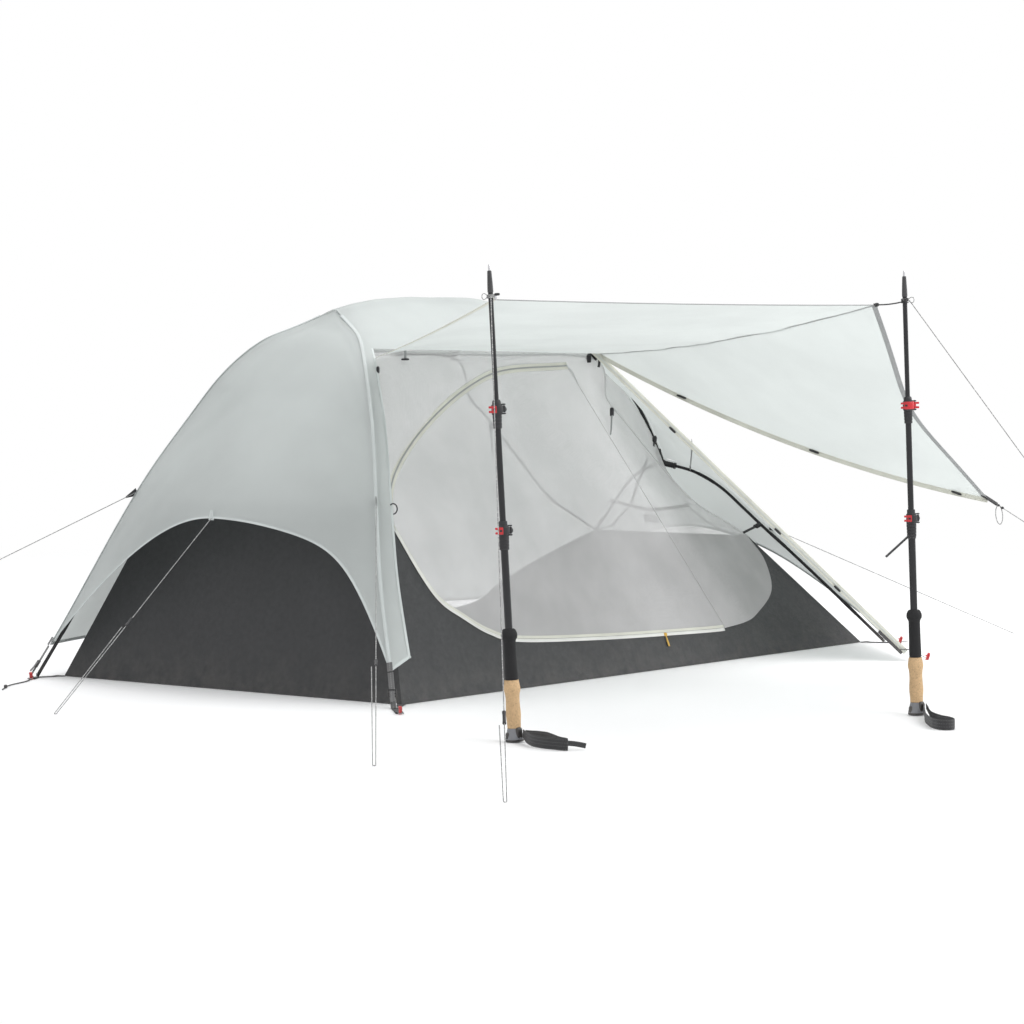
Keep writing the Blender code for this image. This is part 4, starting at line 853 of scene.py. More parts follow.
def part(grid, wrap=False, caps=False, surface=0, uv=None):
    """A grid of points with its faces, flat coordinates and the number of its surface."""
    rows, columns = grid.shape[:2]
    faces = grid_faces(rows, columns, wrap)
    if caps:
        last = (rows - 1) * columns
        faces.append(list(range(columns))[::-1])
        faces.append(list(range(last, last + columns)))
    flat = metres(grid) if uv is None else uv
    return grid.reshape(-1, 3), faces, flat.reshape(-1, 2), surface


def riding(name, data, body="tent"):
    """A new object that rides on a body."""
    made = bpy.data.objects.new(name, data)
    bpy.context.scene.collection.objects.link(made)
    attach(made, body)
    return made


def piece(name, parts, looks, body="tent", crease=None, node=None):
    """One object from one or more parts, which rides on a body and may take the place of a node."""
    faces, kinds, first = [], [], 0
    for p, f, _, kind in parts:
        faces += [[k + first for k in face] for face in f]
        kinds += [kind] * len(f)
        first += len(p)
    mesh = bpy.data.meshes.new(name)
    mesh.from_pydata(np.vstack([p[0] for p in parts]).tolist(), [], faces)
    for look in looks.split():
        mesh.materials.append(surface(look))
    mesh.polygons.foreach_set("material_index", kinds)
    mesh.polygons.foreach_set("use_smooth", [True] * len(faces))
    layer = mesh.uv_layers.new(name="UVMap")
    corner = np.zeros(len(mesh.loops), int)
    mesh.loops.foreach_get("vertex_index", corner)
    layer.data.foreach_set("uv", np.vstack([p[2] for p in parts])[corner].ravel().astype(np.float32))
    if crease is not None:
        mesh.set_sharp_from_angle(angle=math.radians(crease))
    made = riding(name, mesh, body)
    if node:
        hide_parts(node)
    return made


def cloth_piece(node, grids, look, body="tent", depth=0.0):
    """A stretched sheet over one grid or two that share an edge; its width and length are worked out, and nothing uses
    them."""
    shown = [rumpled(g, depth, len(node) + i) for i, g in enumerate(grids)]
    made = piece(node + "_cloth", [part(g) for g in shown], look, body, node=node)
    wide, long = ([float(hops(g, a).sum(a).mean()) for g in shown] for a in (1, 0))
    wide, long = sum(wide), max(long)


def frames_along(path, hint):
    """Unit vectors along, across and above a path; the one above leans towards the hint."""
    along = unit(np.gradient(path, axis=0))
    hint = np.broadcast_to(np.asarray(hint, float), path.shape)
    side = unit(np.cross(along, hint))
    return along, side, np.cross(side, along)


def swept(path, profile, hint=(0, 0, 1), scale=None):
    """A closed profile carried along a path: each profile point goes across and above the path."""
    path = np.asarray(path, float)
    _, side, up = frames_along(path, hint)
    profile = np.asarray(profile, float)
    size = np.ones(len(path)) if scale is None else np.asarray(scale, float)
    across, above = size[:, None] * profile.T[:, None]
    return path[:, None] + side[:, None] * across[..., None] + up[:, None] * above[..., None]


def band_of(width, thickness):
    """A flat closed profile with round edges: a superellipse."""
    a = np.linspace(0, math.tau, 20, endpoint=False)
    c, s = np.cos(a), np.sin(a)
    return np.stack(
        [width / 2 * np.sign(c) * np.abs(c) ** 0.35, thickness / 2 * np.sign(s) * np.abs(s) ** 0.6], -1
    )


def rod(path, radius, sides=16, hint=(0, 0, 1), scale=None, surface=0):
    """A round rod along a path, with closed ends."""
    a = np.linspace(0, math.tau, sides, endpoint=False)
    grid = swept(path, radius * np.stack([np.cos(a), np.sin(a)], -1), hint, scale)
    return part(grid, wrap=True, caps=True, surface=surface)


def ribbon(path, width, thickness, hint, surface=0, scale=None):
    """A flat strap or tape along a path, lying square to the hint."""
    return part(swept(path, band_of(width, thickness), hint, scale), wrap=True, caps=True, surface=surface)


def turned(profile, sides=40, closed=False, surface=0, axes=None, origin=(0, 0, 0)):
    """A profile of radius and height turned about an axis."""
    p = np.asarray(profile, float)
    if closed:
        p = np.vstack([p, p[:1]])
    a = np.linspace(0, math.tau, sides, endpoint=False)
    grid = np.stack(
        [p[:, :1] * np.cos(a), p[:, :1] * np.sin(a), np.broadcast_to(p[:, 1:2], (len(p), sides))], -1
    )
    if axes is not None:
        grid = grid @ np.asarray(axes).T
    run = np.cumsum(np.r_[0, hops(p)])[:, None]
    flat = np.stack(np.broadcast_arrays(a * p[:, 0].max(), run), -1)
    return part(grid + np.asarray(origin, float), wrap=True, caps=not closed, surface=surface, uv=flat)


def pillow(centre, axes, half, soft=0.35, surface=0):
    """A block with rounded edges: a superellipsoid of two angles, placed by three axes."""
    a = np.linspace(-math.pi / 2, math.pi / 2, 20)[:, None]
    b = np.linspace(0, math.tau, 40, endpoint=False)[None]
    power = lambda w: np.sign(w) * np.abs(w) ** soft
    local = [
        power(np.cos(a)) * power(np.cos(b)), power(np.cos(a)) * power(np.sin(b)), power(np.sin(a)) + 0 * b
    ]
    return part(
        np.stack(local, -1) * half @ np.asarray(axes) + np.asarray(centre, float), wrap=True, surface=surface
    )


def basis(way, hint=(0, 0, 1)):
    """Three unit rows: along a way, across it and above it."""
    x = unit(np.asarray(way, float))
    y = unit(np.cross(np.asarray(hint, float), x))
    return np.stack([x, y, np.cross(x, y)])


def cord_curve(name, points, radius, look):
    """A round cord as one open line with a bevel."""
    curve = bpy.data.curves.new(name, "CURVE")
    curve.dimensions = "3D"
    curve.bevel_depth = radius
    curve.bevel_resolution = 3
    curve.use_fill_caps = True
    line = curve.splines.new("POLY")
    points = np.asarray(points, float)
    line.points.add(len(points) - 1)
    line.points.foreach_set("co", np.c_[points, np.ones(len(points))].ravel())
    curve.materials.append(surface(look))
    return riding(name, curve)


# Shader node groups and materials


class Nodes:
    """Short calls for building a node tree."""

    def __init__(self, tree):
        self.tree = tree
        tree.nodes.clear()

    def add(self, kind, values=(), **settings):
        node = self.tree.nodes.new(kind if kind.startswith("Node") else "ShaderNode" + kind)
        for key, value in settings.items():
            setattr(node, key, value)
        for key, value in dict(values).items():
            self.put(node.inputs[key], value)
        return node

    def put(self, socket, value):
        if isinstance(value, bpy.types.Node):
            value = value.outputs[0]
        if isinstance(value, bpy.types.NodeSocket):
            self.tree.links.new(value, socket)
        else:
            socket.default_value = value

    def maths(self, operation, a, b=0.0, c=0.0):
        return self.add("Math", {0: a, 1: b, 2: c}, operation=operation).outputs[0]

    def times(self, a, b):
        return self.maths("MULTIPLY", a, b)

    def mapped(self, value, low, high, to_low=0.0, to_high=1.0):
        values = {0: value, 1: low, 2: high, 3: to_low, 4: to_high}
        return self.add("MapRange", values, clamp=True).outputs[0]

    def mixed(self, factor, a, b):
        return self.add("Mix", {0: factor, 6: a, 7: b}, data_type="RGBA").outputs[2]

    def noise(self, vector, scale, detail=2.0, rough=0.5):
        values = {"Vector": vector, "Scale": scale, "Detail": detail, "Roughness": rough}
        return self.add("TexNoise", values).outputs["Fac"]

    def split(self, vector):
        return self.add("SeparateXYZ", {0: vector}).outputs

    def blend(self, share, under, over):
        return self.add("MixShader", {0: share, 1: under, 2: over})


def shared(name, inputs, outputs):
    """Turns a function that fills a node group into one that gives the group, made when it is
    first asked for.

    An input without a default is a vector, and all the other sockets are numbers.
    """

    def wrap(fill):
        def group():
            tree = bpy.data.node_groups.get(name)
            if tree is None:
                tree = bpy.data.node_groups.new(name, "ShaderNodeTree")
                for label, default in inputs.items():
                    kind = "NodeSocketVector" if default is None else "NodeSocketFloat"
                    socket = tree.interface.new_socket(label, in_out="INPUT", socket_type=kind)
                    if default is not None:
                        socket.default_value = default
                for label in outputs:
                    tree.interface.new_socket(label, in_out="OUTPUT", socket_type="NodeSocketFloat")
                n = Nodes(tree)
                fill(n, n.add("NodeGroupInput").outputs, n.add("NodeGroupOutput").inputs)
            return tree

        return group

    return wrap


@shared("thread_weave", {"Flat": None, "Pitch": 0.002, "Grid": 0.008}, ("Height", "Ridge"))
def weave_group(n, given, out):
    """Threads of a plain weave: crossed sine ridges on the flat coordinates, with a stronger
    thread now and then."""
    split = n.split(given["Flat"])
    waves, ridges = [], []
    for axis in (0, 1):
        waves.append(n.maths("SINE", n.times(n.maths("DIVIDE", split[axis], given["Pitch"]), math.tau)))
        wave = n.maths("COSINE", n.times(n.maths("DIVIDE", split[axis], given["Grid"]), math.tau))
        ridges.append(n.mapped(wave, 0.86, 1.0))
    n.put(out["Height"], n.maths("MULTIPLY_ADD", n.times(*waves), 0.5, 0.5))
    n.put(out["Ridge"], n.maths("MAXIMUM", *ridges))


@shared("blotches", {"Place": None, "Size": 4.0}, ("Value", "Fine"))
def blotch_group(n, given, out):
    """Slow and quick variation: noise in two sizes."""
    n.put(out["Value"], n.noise(given["Place"], given["Size"], 3.0, 0.55))
    n.put(out["Fine"], n.noise(given["Place"], n.times(given["Size"], 22.0), 2.0, 0.5))


@shared("ground_dust", {"Place": None, "Reach": 0.12}, ("Mask",))
def dust_group(n, given, out):
    """Dust that lies thicker towards the ground, broken up by noise."""
    height = n.split(given["Place"])[2]
    fade = n.maths("SUBTRACT", 1.0, n.maths("MINIMUM", n.maths("DIVIDE", height, given["Reach"]), 1.0))
    rough = n.mapped(n.noise(given["Place"], 26.0, 4.0, 0.6), 0.35, 0.75)
    n.put(out["Mask"], n.times(n.maths("POWER", n.maths("MAXIMUM", fade, 0.0), 2.0), rough))


@shared("stitches", {"Flat": None, "Step": 0.006}, ("Mask",))
def stitch_group(n, given, out):
    """A dashed line of thread beside each edge of a tape, from its flat coordinates."""
    split = n.split(given["Flat"])
    dash = n.mapped(n.maths("FRACT", n.maths("DIVIDE", split[1], given["Step"])), 0.3, 0.36)
    n.put(
        out["Mask"],
        n.times(dash, n.mapped(n.maths("COSINE", n.times(split[0], math.tau / 0.007)), 0.8, 0.95)),
    )


def rgba(colour, shift=1.0):
    return tuple(min(max(c * shift, 0.0), 1.0) for c in colour[:3]) + (1.0,)


class Looks(Nodes):
    """A material with a Principled shader, and the places that its patterns are read from."""

    def __init__(self, name):
        self.made = bpy.data.materials.new(name)
        self.made.use_nodes = True
        super().__init__(self.made.node_tree)
        self.out = self.add("OutputMaterial")
        self.shader = self.add("BsdfPrincipled")
        self.show(self.shader)
        coords = self.add("TexCoord").outputs
        self.uv, self.here = coords["UV"], coords["Object"]

    def show(self, last):
        self.put(self.out.inputs["Surface"], last)

    def set(self, **values):
        """Gives the shader's inputs; an underscore stands for a space in their names."""
        for key, value in values.items():
            self.put(self.shader.inputs[key.replace("_", " ")], value)

    def use(self, group, **values):
        return self.add("Group", values, node_tree=group()).outputs

    def shades(self, colour, size, dark, light, edge=0.3):
        """Noise in two sizes, and the colour in two shades that follow the slow one."""
        blotch = self.use(blotch_group, Place=self.here, Size=size)
        share = self.mapped(blotch["Value"], edge, 1 - edge)
        return blotch, self.mixed(share, rgba(colour, dark), rgba(colour, light))

    def bump(self, height, strength, distance):
        self.set(Normal=self.add("Bump", {"Height": height, "Strength": strength, "Distance": distance}))


def cloth_material(n, colour, rough, pitch, grid, through=0.0, clear=0.0, sheen=0.1, dusty=0.0, ridge=0.1):
    """Woven cloth: a weave bump, stronger rip-stop threads, slow colour variation, light through
    it and dust below."""
    weave = n.use(weave_group, Flat=n.uv, Pitch=pitch, Grid=grid)
    blotch, shade = n.shades(colour, 3.5, 0.955, 1.03, 0.35)
    threads = n.mixed(n.times(weave["Ridge"], ridge), shade, rgba(colour, 0.8))
    if dusty:
        dust = n.use(dust_group, Place=n.here, Reach=0.16)
        threads = n.mixed(n.times(dust["Mask"], dusty), threads, CLOTH_DUST)
    rough = n.mapped(blotch["Fine"], 0.3, 0.7, rough - 0.06, rough + 0.06)
    n.set(Base_Color=threads, Roughness=rough, Sheen_Weight=sheen, Sheen_Roughness=0.4)
    height = n.maths("MULTIPLY_ADD", weave["Ridge"], 0.6, weave["Height"])
    n.bump(n.maths("MULTIPLY_ADD", blotch["Fine"], 0.8, height), 0.35, 0.0004)
    last = n.shader
    if through:
        last = n.blend(through, last, n.add("BsdfTranslucent", {"Color": threads}))
    if clear:
        last = n.blend(clear, last, n.add("BsdfTransparent"))
    n.show(last)


def netting_material(n, colour):
    """Fine insect netting: the threads cover a share of it, which varies at random over the cloth."""
    cover = sizes().netting_cover
    mesh = n.noise(n.uv, 620.0, 1.0)
    blotch, shade = n.shades(colour, 5.0, 0.96, 1.02, 0.35)
    n.set(Base_Color=shade, Roughness=0.75, Sheen_Weight=0.15)
    cloudy = n.mapped(blotch["Value"], 0.3, 0.7, cover - 0.03, cover + 0.03)
    share = n.maths("MULTIPLY_ADD", n.maths("SUBTRACT", mesh, 0.5), 0.22, cloudy)
    n.bump(mesh, 0.25, 0.0003)
    n.show(n.blend(share, n.add("BsdfTransparent"), n.shader))


def tape_material(n, colour, thread, rough=0.7, pitch=0.0016):
    """Woven tape with a dashed row of stitches beside its edges."""
    weave = n.use(weave_group, Flat=n.uv, Pitch=pitch, Grid=1.0)
    stitch = n.use(stitch_group, Flat=n.uv, Step=0.006)
    blotch, base = n.shades(colour, 9.0, 0.9, 1.06)
    thread = rgba(colour, thread) if isinstance(thread, float) else rgba(thread)
    rough = n.mapped(blotch["Fine"], 0.3, 0.7, rough - 0.08, rough + 0.08)
    n.set(Base_Color=n.mixed(n.times(stitch["Mask"], 0.8), base, thread), Roughness=rough, Sheen_Weight=0.12)
    n.bump(n.maths("ADD", weave["Height"], stitch["Mask"]), 0.5, 0.0004)


def hard_material(n, colour, rough, metal=0.0, wear=0.1, worn=None, coat=0.0, grain=90.0):
    """Plastic or anodised metal: fine grain, slow variation of colour and gloss, scuffs and a
    little dust below."""
    dust = n.use(dust_group, Place=n.here, Reach=0.1)
    scuff = n.mapped(n.noise(n.here, grain * 4, 6.0, 0.7), 0.62, 0.74)
    blotch, base = n.shades(colour, 24.0, 0.88, 1.1)
    base = n.mixed(n.times(scuff, wear), base, rgba(worn) if worn else rgba(colour, 1.9))
    base = n.mixed(n.times(dust["Mask"], 0.3), base, HARD_DUST)
    rough = n.maths("MULTIPLY_ADD", blotch["Fine"], 0.2, rough - 0.1)
    n.set(Base_Color=base, Roughness=rough, Metallic=metal, Coat_Weight=coat)
    n.bump(n.noise(n.here, grain * 12, 2.0), 0.12, 0.0002)


def cork_material(n, colour):
    """Pressed cork: cells of mixed browns with dark pits between some of them."""
    cells = n.add("TexVoronoi", {"Vector": n.here, "Scale": 420.0}).outputs
    pits = n.mapped(n.noise(n.here, 260.0, 3.0, 0.6), 0.6, 0.7)
    tone = n.add("SeparateColor", {0: cells["Color"]})
    slow = n.use(blotch_group, Place=n.here, Size=30.0)
    base = n.mixed(tone, rgba(colour, 0.84), rgba(colour, 1.1))
    base = n.mixed(n.mapped(slow["Value"], 0.3, 0.7, 0.0, 0.35), base, rgba(colour, 0.72))
    n.set(Base_Color=n.mixed(n.times(pits, 0.7), base, rgba(colour, 0.3)), Roughness=0.82)
    n.bump(n.maths("SUBTRACT", cells["Distance"], pits), 0.4, 0.0006)


def cord_material(n, colour, fleck):
    """Braided cord: slanting strands with flecks of a second colour."""
    split = n.split(n.here)
    slant = n.maths("ADD", n.maths("ADD", split[0], split[1]), split[2])
    strand = n.maths("SINE", n.times(slant, math.tau / 0.0022))
    spots = n.mapped(n.noise(n.here, 320.0, 1.0), 0.54, 0.6)
    base = n.mixed(n.mapped(strand, -1, 1), rgba(colour, 0.82), rgba(colour, 1.12))
    n.set(Base_Color=n.mixed(n.times(spots, 0.6), base, rgba(fleck)), Roughness=0.72)
    n.bump(strand, 0.4, 0.0003)


# What a user would change


def colour(name, description, default):
    limits = dict(subtype="COLOR", size=3, min=0, max=1)
    return FloatVectorProperty(name=name, description=description, default=default, **limits)


def length(name, description, default):
    return FloatProperty(
        name=name, description=description, default=default, subtype="DISTANCE", unit="LENGTH", min=0
    )


class TentColours(bpy.types.PropertyGroup):
    fly: colour("Flysheet", "Colour of the flysheet and the awning", (0.675, 0.715, 0.7))
    walls: colour("Walls", "Colour of the floor and the low walls", (0.03, 0.031, 0.033))
    netting: colour("Netting", "Colour of the inner tent's netting", (0.96, 0.95, 0.95))
    tape: colour("Zip tape", "Colour of the zip tapes and light bindings", (0.68, 0.68, 0.6))
    binding: colour("Binding", "Colour of the awning's bindings and seams", (0.36, 0.37, 0.37))
    webbing: colour("Webbing", "Colour of straps, tabs and clips' ribbons", (0.03, 0.03, 0.032))
    cord: colour("Cord", "Colour of the guy lines", (0.26, 0.26, 0.26))
    poles: colour("Poles", "Colour of the tent poles and the trekking poles", (0.02, 0.02, 0.022))
    lever: colour("Levers", "Colour of the lock levers and the stake heads", (0.55, 0.012, 0.02))
    cork: colour("Cork", "Colour of the cork grips", (0.62, 0.42, 0.23))
    floor: colour("Ground", "Colour of the studio floor", (0.86, 0.86, 0.86))


class TentSizes(bpy.types.PropertyGroup):
    wrinkles: length("Wrinkles", "How far the flysheet's cloth waves out of its smooth shape", 0.0016)
    netting_cover: FloatProperty(
        name="Netting cover",
        description="Share of the netting that its threads cover",
        default=0.48,
        subtype="FACTOR",
        min=0,
        max=1,
    )
    tape_width: length("Tape width", "Width of the zip tapes", 0.016)
    binding_width: length("Binding width", "Width of the awning's edge bindings", 0.012)
    toggle_length: length("Toggle length", "Length of the toggles that hold rolled cloth", 0.03)


def colours():
    return bpy.context.scene.tent_colours


def sizes():
    return bpy.context.scene.tent_sizes


BLACK_CLOTH = dict(pitch=0.0014, grid=0.007, ridge=0.22)
# By short name: how a material is made, its name, its colour or the property that holds it, and its values
LOOKS = {
    "fly": (
        cloth_material,
        "fly_cloth",
        "fly",
        dict(rough=0.5, pitch=0.0011, grid=0.006, through=0.37, clear=0.05, sheen=0.08, ridge=0.05),
    ),
    "walls": (cloth_material, "wall_cloth", "walls", dict(rough=0.6, **BLACK_CLOTH, dusty=0.1)),
    "floor_cloth": (cloth_material, "floor_cloth", "walls", dict(rough=0.66, **BLACK_CLOTH)),
    "netting": (netting_material, "netting", "netting", {}),
    "tape": (tape_material, "zip_tape", "tape", dict(thread=1.15)),
    "binding": (tape_material, "binding", "binding", dict(thread=1.3)),
    "webbing": (tape_material, "webbing", "webbing", dict(thread=(0.1, 0.1, 0.1), rough=0.75, pitch=0.0022)),
    "grey_webbing": (
        tape_material, "grey_webbing", (0.13, 0.13, 0.13), dict(thread=(0.3, 0.3, 0.3), pitch=0.0022)
    ),
    "net_tape": (tape_material, "net_tape", (0.56, 0.56, 0.56), dict(thread=(0.68, 0.68, 0.68))),
    "white_tape": (tape_material, "white_tape", (0.78, 0.78, 0.74), dict(thread=(0.9, 0.9, 0.9))),
    "fly_binding": (tape_material, "fly_binding", (0.6, 0.64, 0.63), dict(thread=(0.48, 0.51, 0.5))),
    "cord": (cord_material, "cord", "cord", dict(fleck=(0.72, 0.72, 0.7))),
    "black_cord": (cord_material, "black_cord", (0.03, 0.03, 0.03), dict(fleck=(0.2, 0.2, 0.2))),
    "cork": (cork_material, "cork", "cork", {}),
    "pole": (hard_material, "pole", "poles", dict(rough=0.34, metal=0.55, coat=0.25)),
    "plastic": (hard_material, "plastic", (0.018, 0.018, 0.02), dict(rough=0.46)),
    "red": (hard_material, "red", "lever", dict(rough=0.34, coat=0.3)),
    "steel": (
        hard_material,
        "steel",
        (0.58, 0.58, 0.6),
        dict(rough=0.3, metal=1.0, wear=0.25, worn=(0.75, 0.74, 0.72)),
    ),
    "grey": (hard_material, "grey_plastic", (0.2, 0.21, 0.23), dict(rough=0.42)),
    "foam": (hard_material, "foam", (0.014, 0.014, 0.015), dict(rough=0.92, wear=0.2, grain=260.0)),
    "grey_tip": (hard_material, "ferrule", (0.06, 0.06, 0.062), dict(rough=0.4, metal=0.3)),
    "yellow": (hard_material, "pull", (0.7, 0.42, 0.06), dict(rough=0.5)),
}
MADE = {}


def surface(name):
    """A material by its short name, made the first time it is asked for."""
    if name not in MADE:
        make, label, colour, values = LOOKS[name]
        n = Looks(label + "_looks")
        make(n, getattr(colours(), colour) if isinstance(colour, str) else colour, **values)
        MADE[name] = n.made
    return MADE[name]


# Operators


class TENT_OT_stage(bpy.types.Operator):
    """Camera, floor, backdrop and lights"""

    bl_idname = "tent.stage"
    bl_label = "Stage"

    def execute(self, context):
        scene = context.scene
        data = bpy.data.cameras.new("camera")
        data.lens = CAMERA_LENS
        data.sensor_width = 36.0
        data.clip_end = 200.0
        scene.camera = self.aimed(context, "camera", data, CAMERA_SPOT, Vector(CAMERA_WAY))
        s = np.linspace(-GROUND_REACH, GROUND_REACH, 9)
        grid = np.stack([*np.meshgrid(s, s), np.full((9, 9), -CONTACT_GAP)], -1)
        mesh = bpy.data.meshes.new("ground")
        mesh.from_pydata(grid.reshape(-1, 3).tolist(), [], grid_faces(9, 9))
        mesh.materials.append(self.ground_material())
        ground = bpy.data.objects.new("ground", mesh)
        scene.collection.objects.link(ground)
        scene.world = bpy.data.worlds.new("studio")
        scene.world.use_nodes = True
        n = Nodes(scene.world.node_tree)
        soft = n.add("Background", {0: SOFT_SKY, 1: SOFT_SKY_POWER})
        white = n.add("Background", {0: WHITE, 1: 1.0})
        n.add("OutputWorld", {"Surface": n.blend(self.seen(n), soft, white)})
        for name, spot, aim, power, size in LAMPS:
            lamp = bpy.data.lights.new(name, "AREA")
            lamp.energy = power
            lamp.size = size
            self.aimed(context, name, lamp, spot, Vector(aim) - Vector(spot))
        scene.view_settings.view_transform = "Standard"
        return {"FINISHED"}

    def aimed(self, context, name, data, spot, way):
        """A camera or a lamp at a spot, turned to look along a direction."""
        made = bpy.data.objects.new(name, data)
        made.location = spot
        made.rotation_euler = way.to_track_quat("-Z", "Y").to_euler()
        context.scene.collection.objects.link(made)
        return made

    def seen(self, n):
        """1 for rays from the camera, and for those by way of metal or glass."""
        path = n.add("LightPath").outputs
        both = n.maths("MAXIMUM", path["Is Camera Ray"], path["Is Glossy Ray"])
        return n.maths("MAXIMUM", both, path["Is Transmission Ray"])

    def ground_material(self):
        """A matt floor that glows a little and turns white far out, both only where the camera sees it."""
        n = Looks("ground_looks")
        rough = n.mapped(n.noise(n.here, 3.0, 2.0), 0.3, 0.7, 0.75, 0.85)
        n.set(Base_Color=rgba(colours().floor), Roughness=rough, Specular_IOR_Level=0.2)
        seen = self.seen(n)
        both = n.add(
            "AddShader", {0: n.shader, 1: n.add("Emission", {0: WHITE, 1: n.times(seen, GROUND_GLOW)})}
        )
        far = n.mapped(n.add("VectorMath", {0: n.here}, operation="LENGTH").outputs["Value"], *GROUND_FADE)
        n.show(n.blend(n.times(far, seen), both, n.add("Emission", {0: WHITE, 1: 1.0})))
        return n.made


def stake_point(number):
    return place(*GUY_STAKES[number - 1], STAKE_LINE_HEIGHT)


def hem_top():
    """Just off the middle of the head panel's hem."""
    way = fly_head_leg(FRONT)
    p = way.at_height(HEAD_ARCH_HEIGHT) * vec(1, 0, 1) - vec(HEAD_ARCH_BULGE, 0, 0)
    return p + unit(stake_point(1) - p) * CONTACT_GAP


def leg_tab(side):
    way = fly_head_leg(side)
    return way.at_height(LEG_TAB_HEIGHT) + vec(-0.7, side * 0.7, 0) * (0.0009 + CORD_RADIUS / 2)


def ring_side(number, stake):
    """On the outside of the ring at a trekking pole's tip, towards the stake."""
    pole = POLES[number - 1].at(LOOP_HEIGHT)
    way = unit((stake_point(stake) - pole) * FLAT)
    return pole + way * (0.0059 + CONTACT_GAP + 0.003 + CORD_RADIUS * 0.7 + CONTACT_GAP)


def foot_tab():
    way = fly_foot_leg(FRONT)
    return way.at_height(FOOT_TAB_HEIGHT) + vec(0.5, -0.6, 0.6) * (0.0009 + CORD_RADIUS / 2)


def guy_route(number):
    """A guy line's points; the first three turn round their stake and come back to a tensioner."""
    starts = (hem_top, lambda: leg_tab(FRONT), lambda: ring_side(1, 3), lambda: leg_tab(BACK))
    starts += (lambda: ring_side(2, 5), lambda: place(*AWNING_TIP), foot_tab)
    start = starts[number - 1]()
    end = stake_point(number)
    if number > len(TENSIONERS_FROM_STAKE):
        return np.linspace(start, end, 40)
    way = unit(end - start)
    across = unit(np.cross(way, (0, 0, 1)))
    turn = HAIRPIN_WIDTH / 2
    a = np.linspace(0, math.pi, 13)[:, None]
    bend = end + across * turn * (1 - np.cos(a)) + way * turn * np.sin(a)
    back = TENSIONERS_FROM_STAKE[number - 1] - TENSIONER_LENGTH / 2 - 0.004
    stop = end - way * back + across * HAIRPIN_WIDTH * 1.5
    return np.vstack([np.linspace(start, end, 30)[:-1], bend, np.linspace(bend[-1], stop, 12)[1:]])


class TENT_OT_cords(bpy.types.Operator):
    """The seven guy lines and their tensioners"""

    bl_idname = "tent.cords"
    bl_label = "Guy lines"

    def execute(self, context):
        for number in range(1, 8):
            route = guy_route(number)
            made = cord_curve(f"guy_line_{number}_cord", route, CORD_RADIUS, "cord")
            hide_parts(f"guy_line_{number}")
            end, goes = ("fitting", [self.tensioner(number)]) if number <= len(TENSIONERS_FROM_STAKE) else ("knot", [])
        return {"FINISHED"}

    def tensioner(self, number):
        """A turned barrel with a waist and a hole through it, on the cord."""
        route = guy_route(number)
        end = stake_point(number)
        way = unit(end - route[0])
        centre = end - way * TENSIONERS_FROM_STAKE[number - 1]
        bore = CORD_RADIUS + 0.0005
        half = TENSIONER_LENGTH / 2
        z = np.linspace(-half, half, 25)
        wide = TENSIONER_RADIUS * (0.8 + 0.2 * (np.abs(z) / half) ** 2)
        wide *= np.clip((half - np.abs(z)) / 0.0012, 0, 1) * 0.12 + 0.88
        ring = np.vstack([[bore, -half], np.stack([wide, z], -1), [bore, half]])
        turn = turn_to(way)
        parts = [turned(ring, 32, closed=True, axes=turn, origin=centre)]
        node = f"tensioner_{number}"
        return piece(node + "_barrel", parts, "plastic", node, 40, node)


class TENT_OT_flysheet(bpy.types.Operator):
    """The flysheet's panels and the awning"""

    bl_idname = "tent.flysheet"
    bl_label = "Flysheet"

    def execute(self, context):
        deep = sizes().wrinkles
        for name, grids, rests in fly_shapes():
            cloth_piece(name, grids, "fly", depth=deep)
        return {"FINISHED"}


def fly_shapes():
    """The flysheet's panels in order: name, grids and the nodes that they rest on."""
    way = fly_head_leg(FRONT)
    low, high = way.share_at_height([FLY_CORNER_HEIGHT, EAVE_HEIGHT])
    top = fly_ridge(HEAD_HUB_INSET)
    head = arched_panel(
        way, low, high, 61, 31, 97, HEAD_ARCH_HEIGHT, HEAD_ARCH_BULGE, -1, top, HEM_ROUND_HEAD
    )
    leg = fly_foot_leg(FRONT)
    low = float(leg.share_at_height(FLY_CORNER_HEIGHT))
    top = foot_seam(FRONT, 2)[0]
    foot = arched_panel(leg, low, 0.0, 81, 0, 81, FOOT_ARCH_HEIGHT, FOOT_ARCH_BULGE, 1, top, HEM_ROUND_FOOT)
    strip = ruled(low_seam(FRONT, 81), strip_edge(81), 9).transpose(1, 0, 2)
    return (
        ("fly_head", [head], ["head_leg_front", "head_leg_back"]),
        ("fly_roof", [roof_grid(61, 91)], ["ridge_pole", "brow_pole"]),
        ("fly_strip", [strip], ["head_leg_front"]),
        ("fly_back", back_grids(), ["ridge_pole", "head_leg_back", "foot_leg_back"]),
        ("fly_wing", [wing_grid()], ["ridge_pole", "foot_leg_front"]),
        ("fly_foot", [foot], ["foot_leg_front", "foot_leg_back"]),
        ("awning", [awning_grids()], ["awning_loop_1", "awning_loop_2"]),
    )


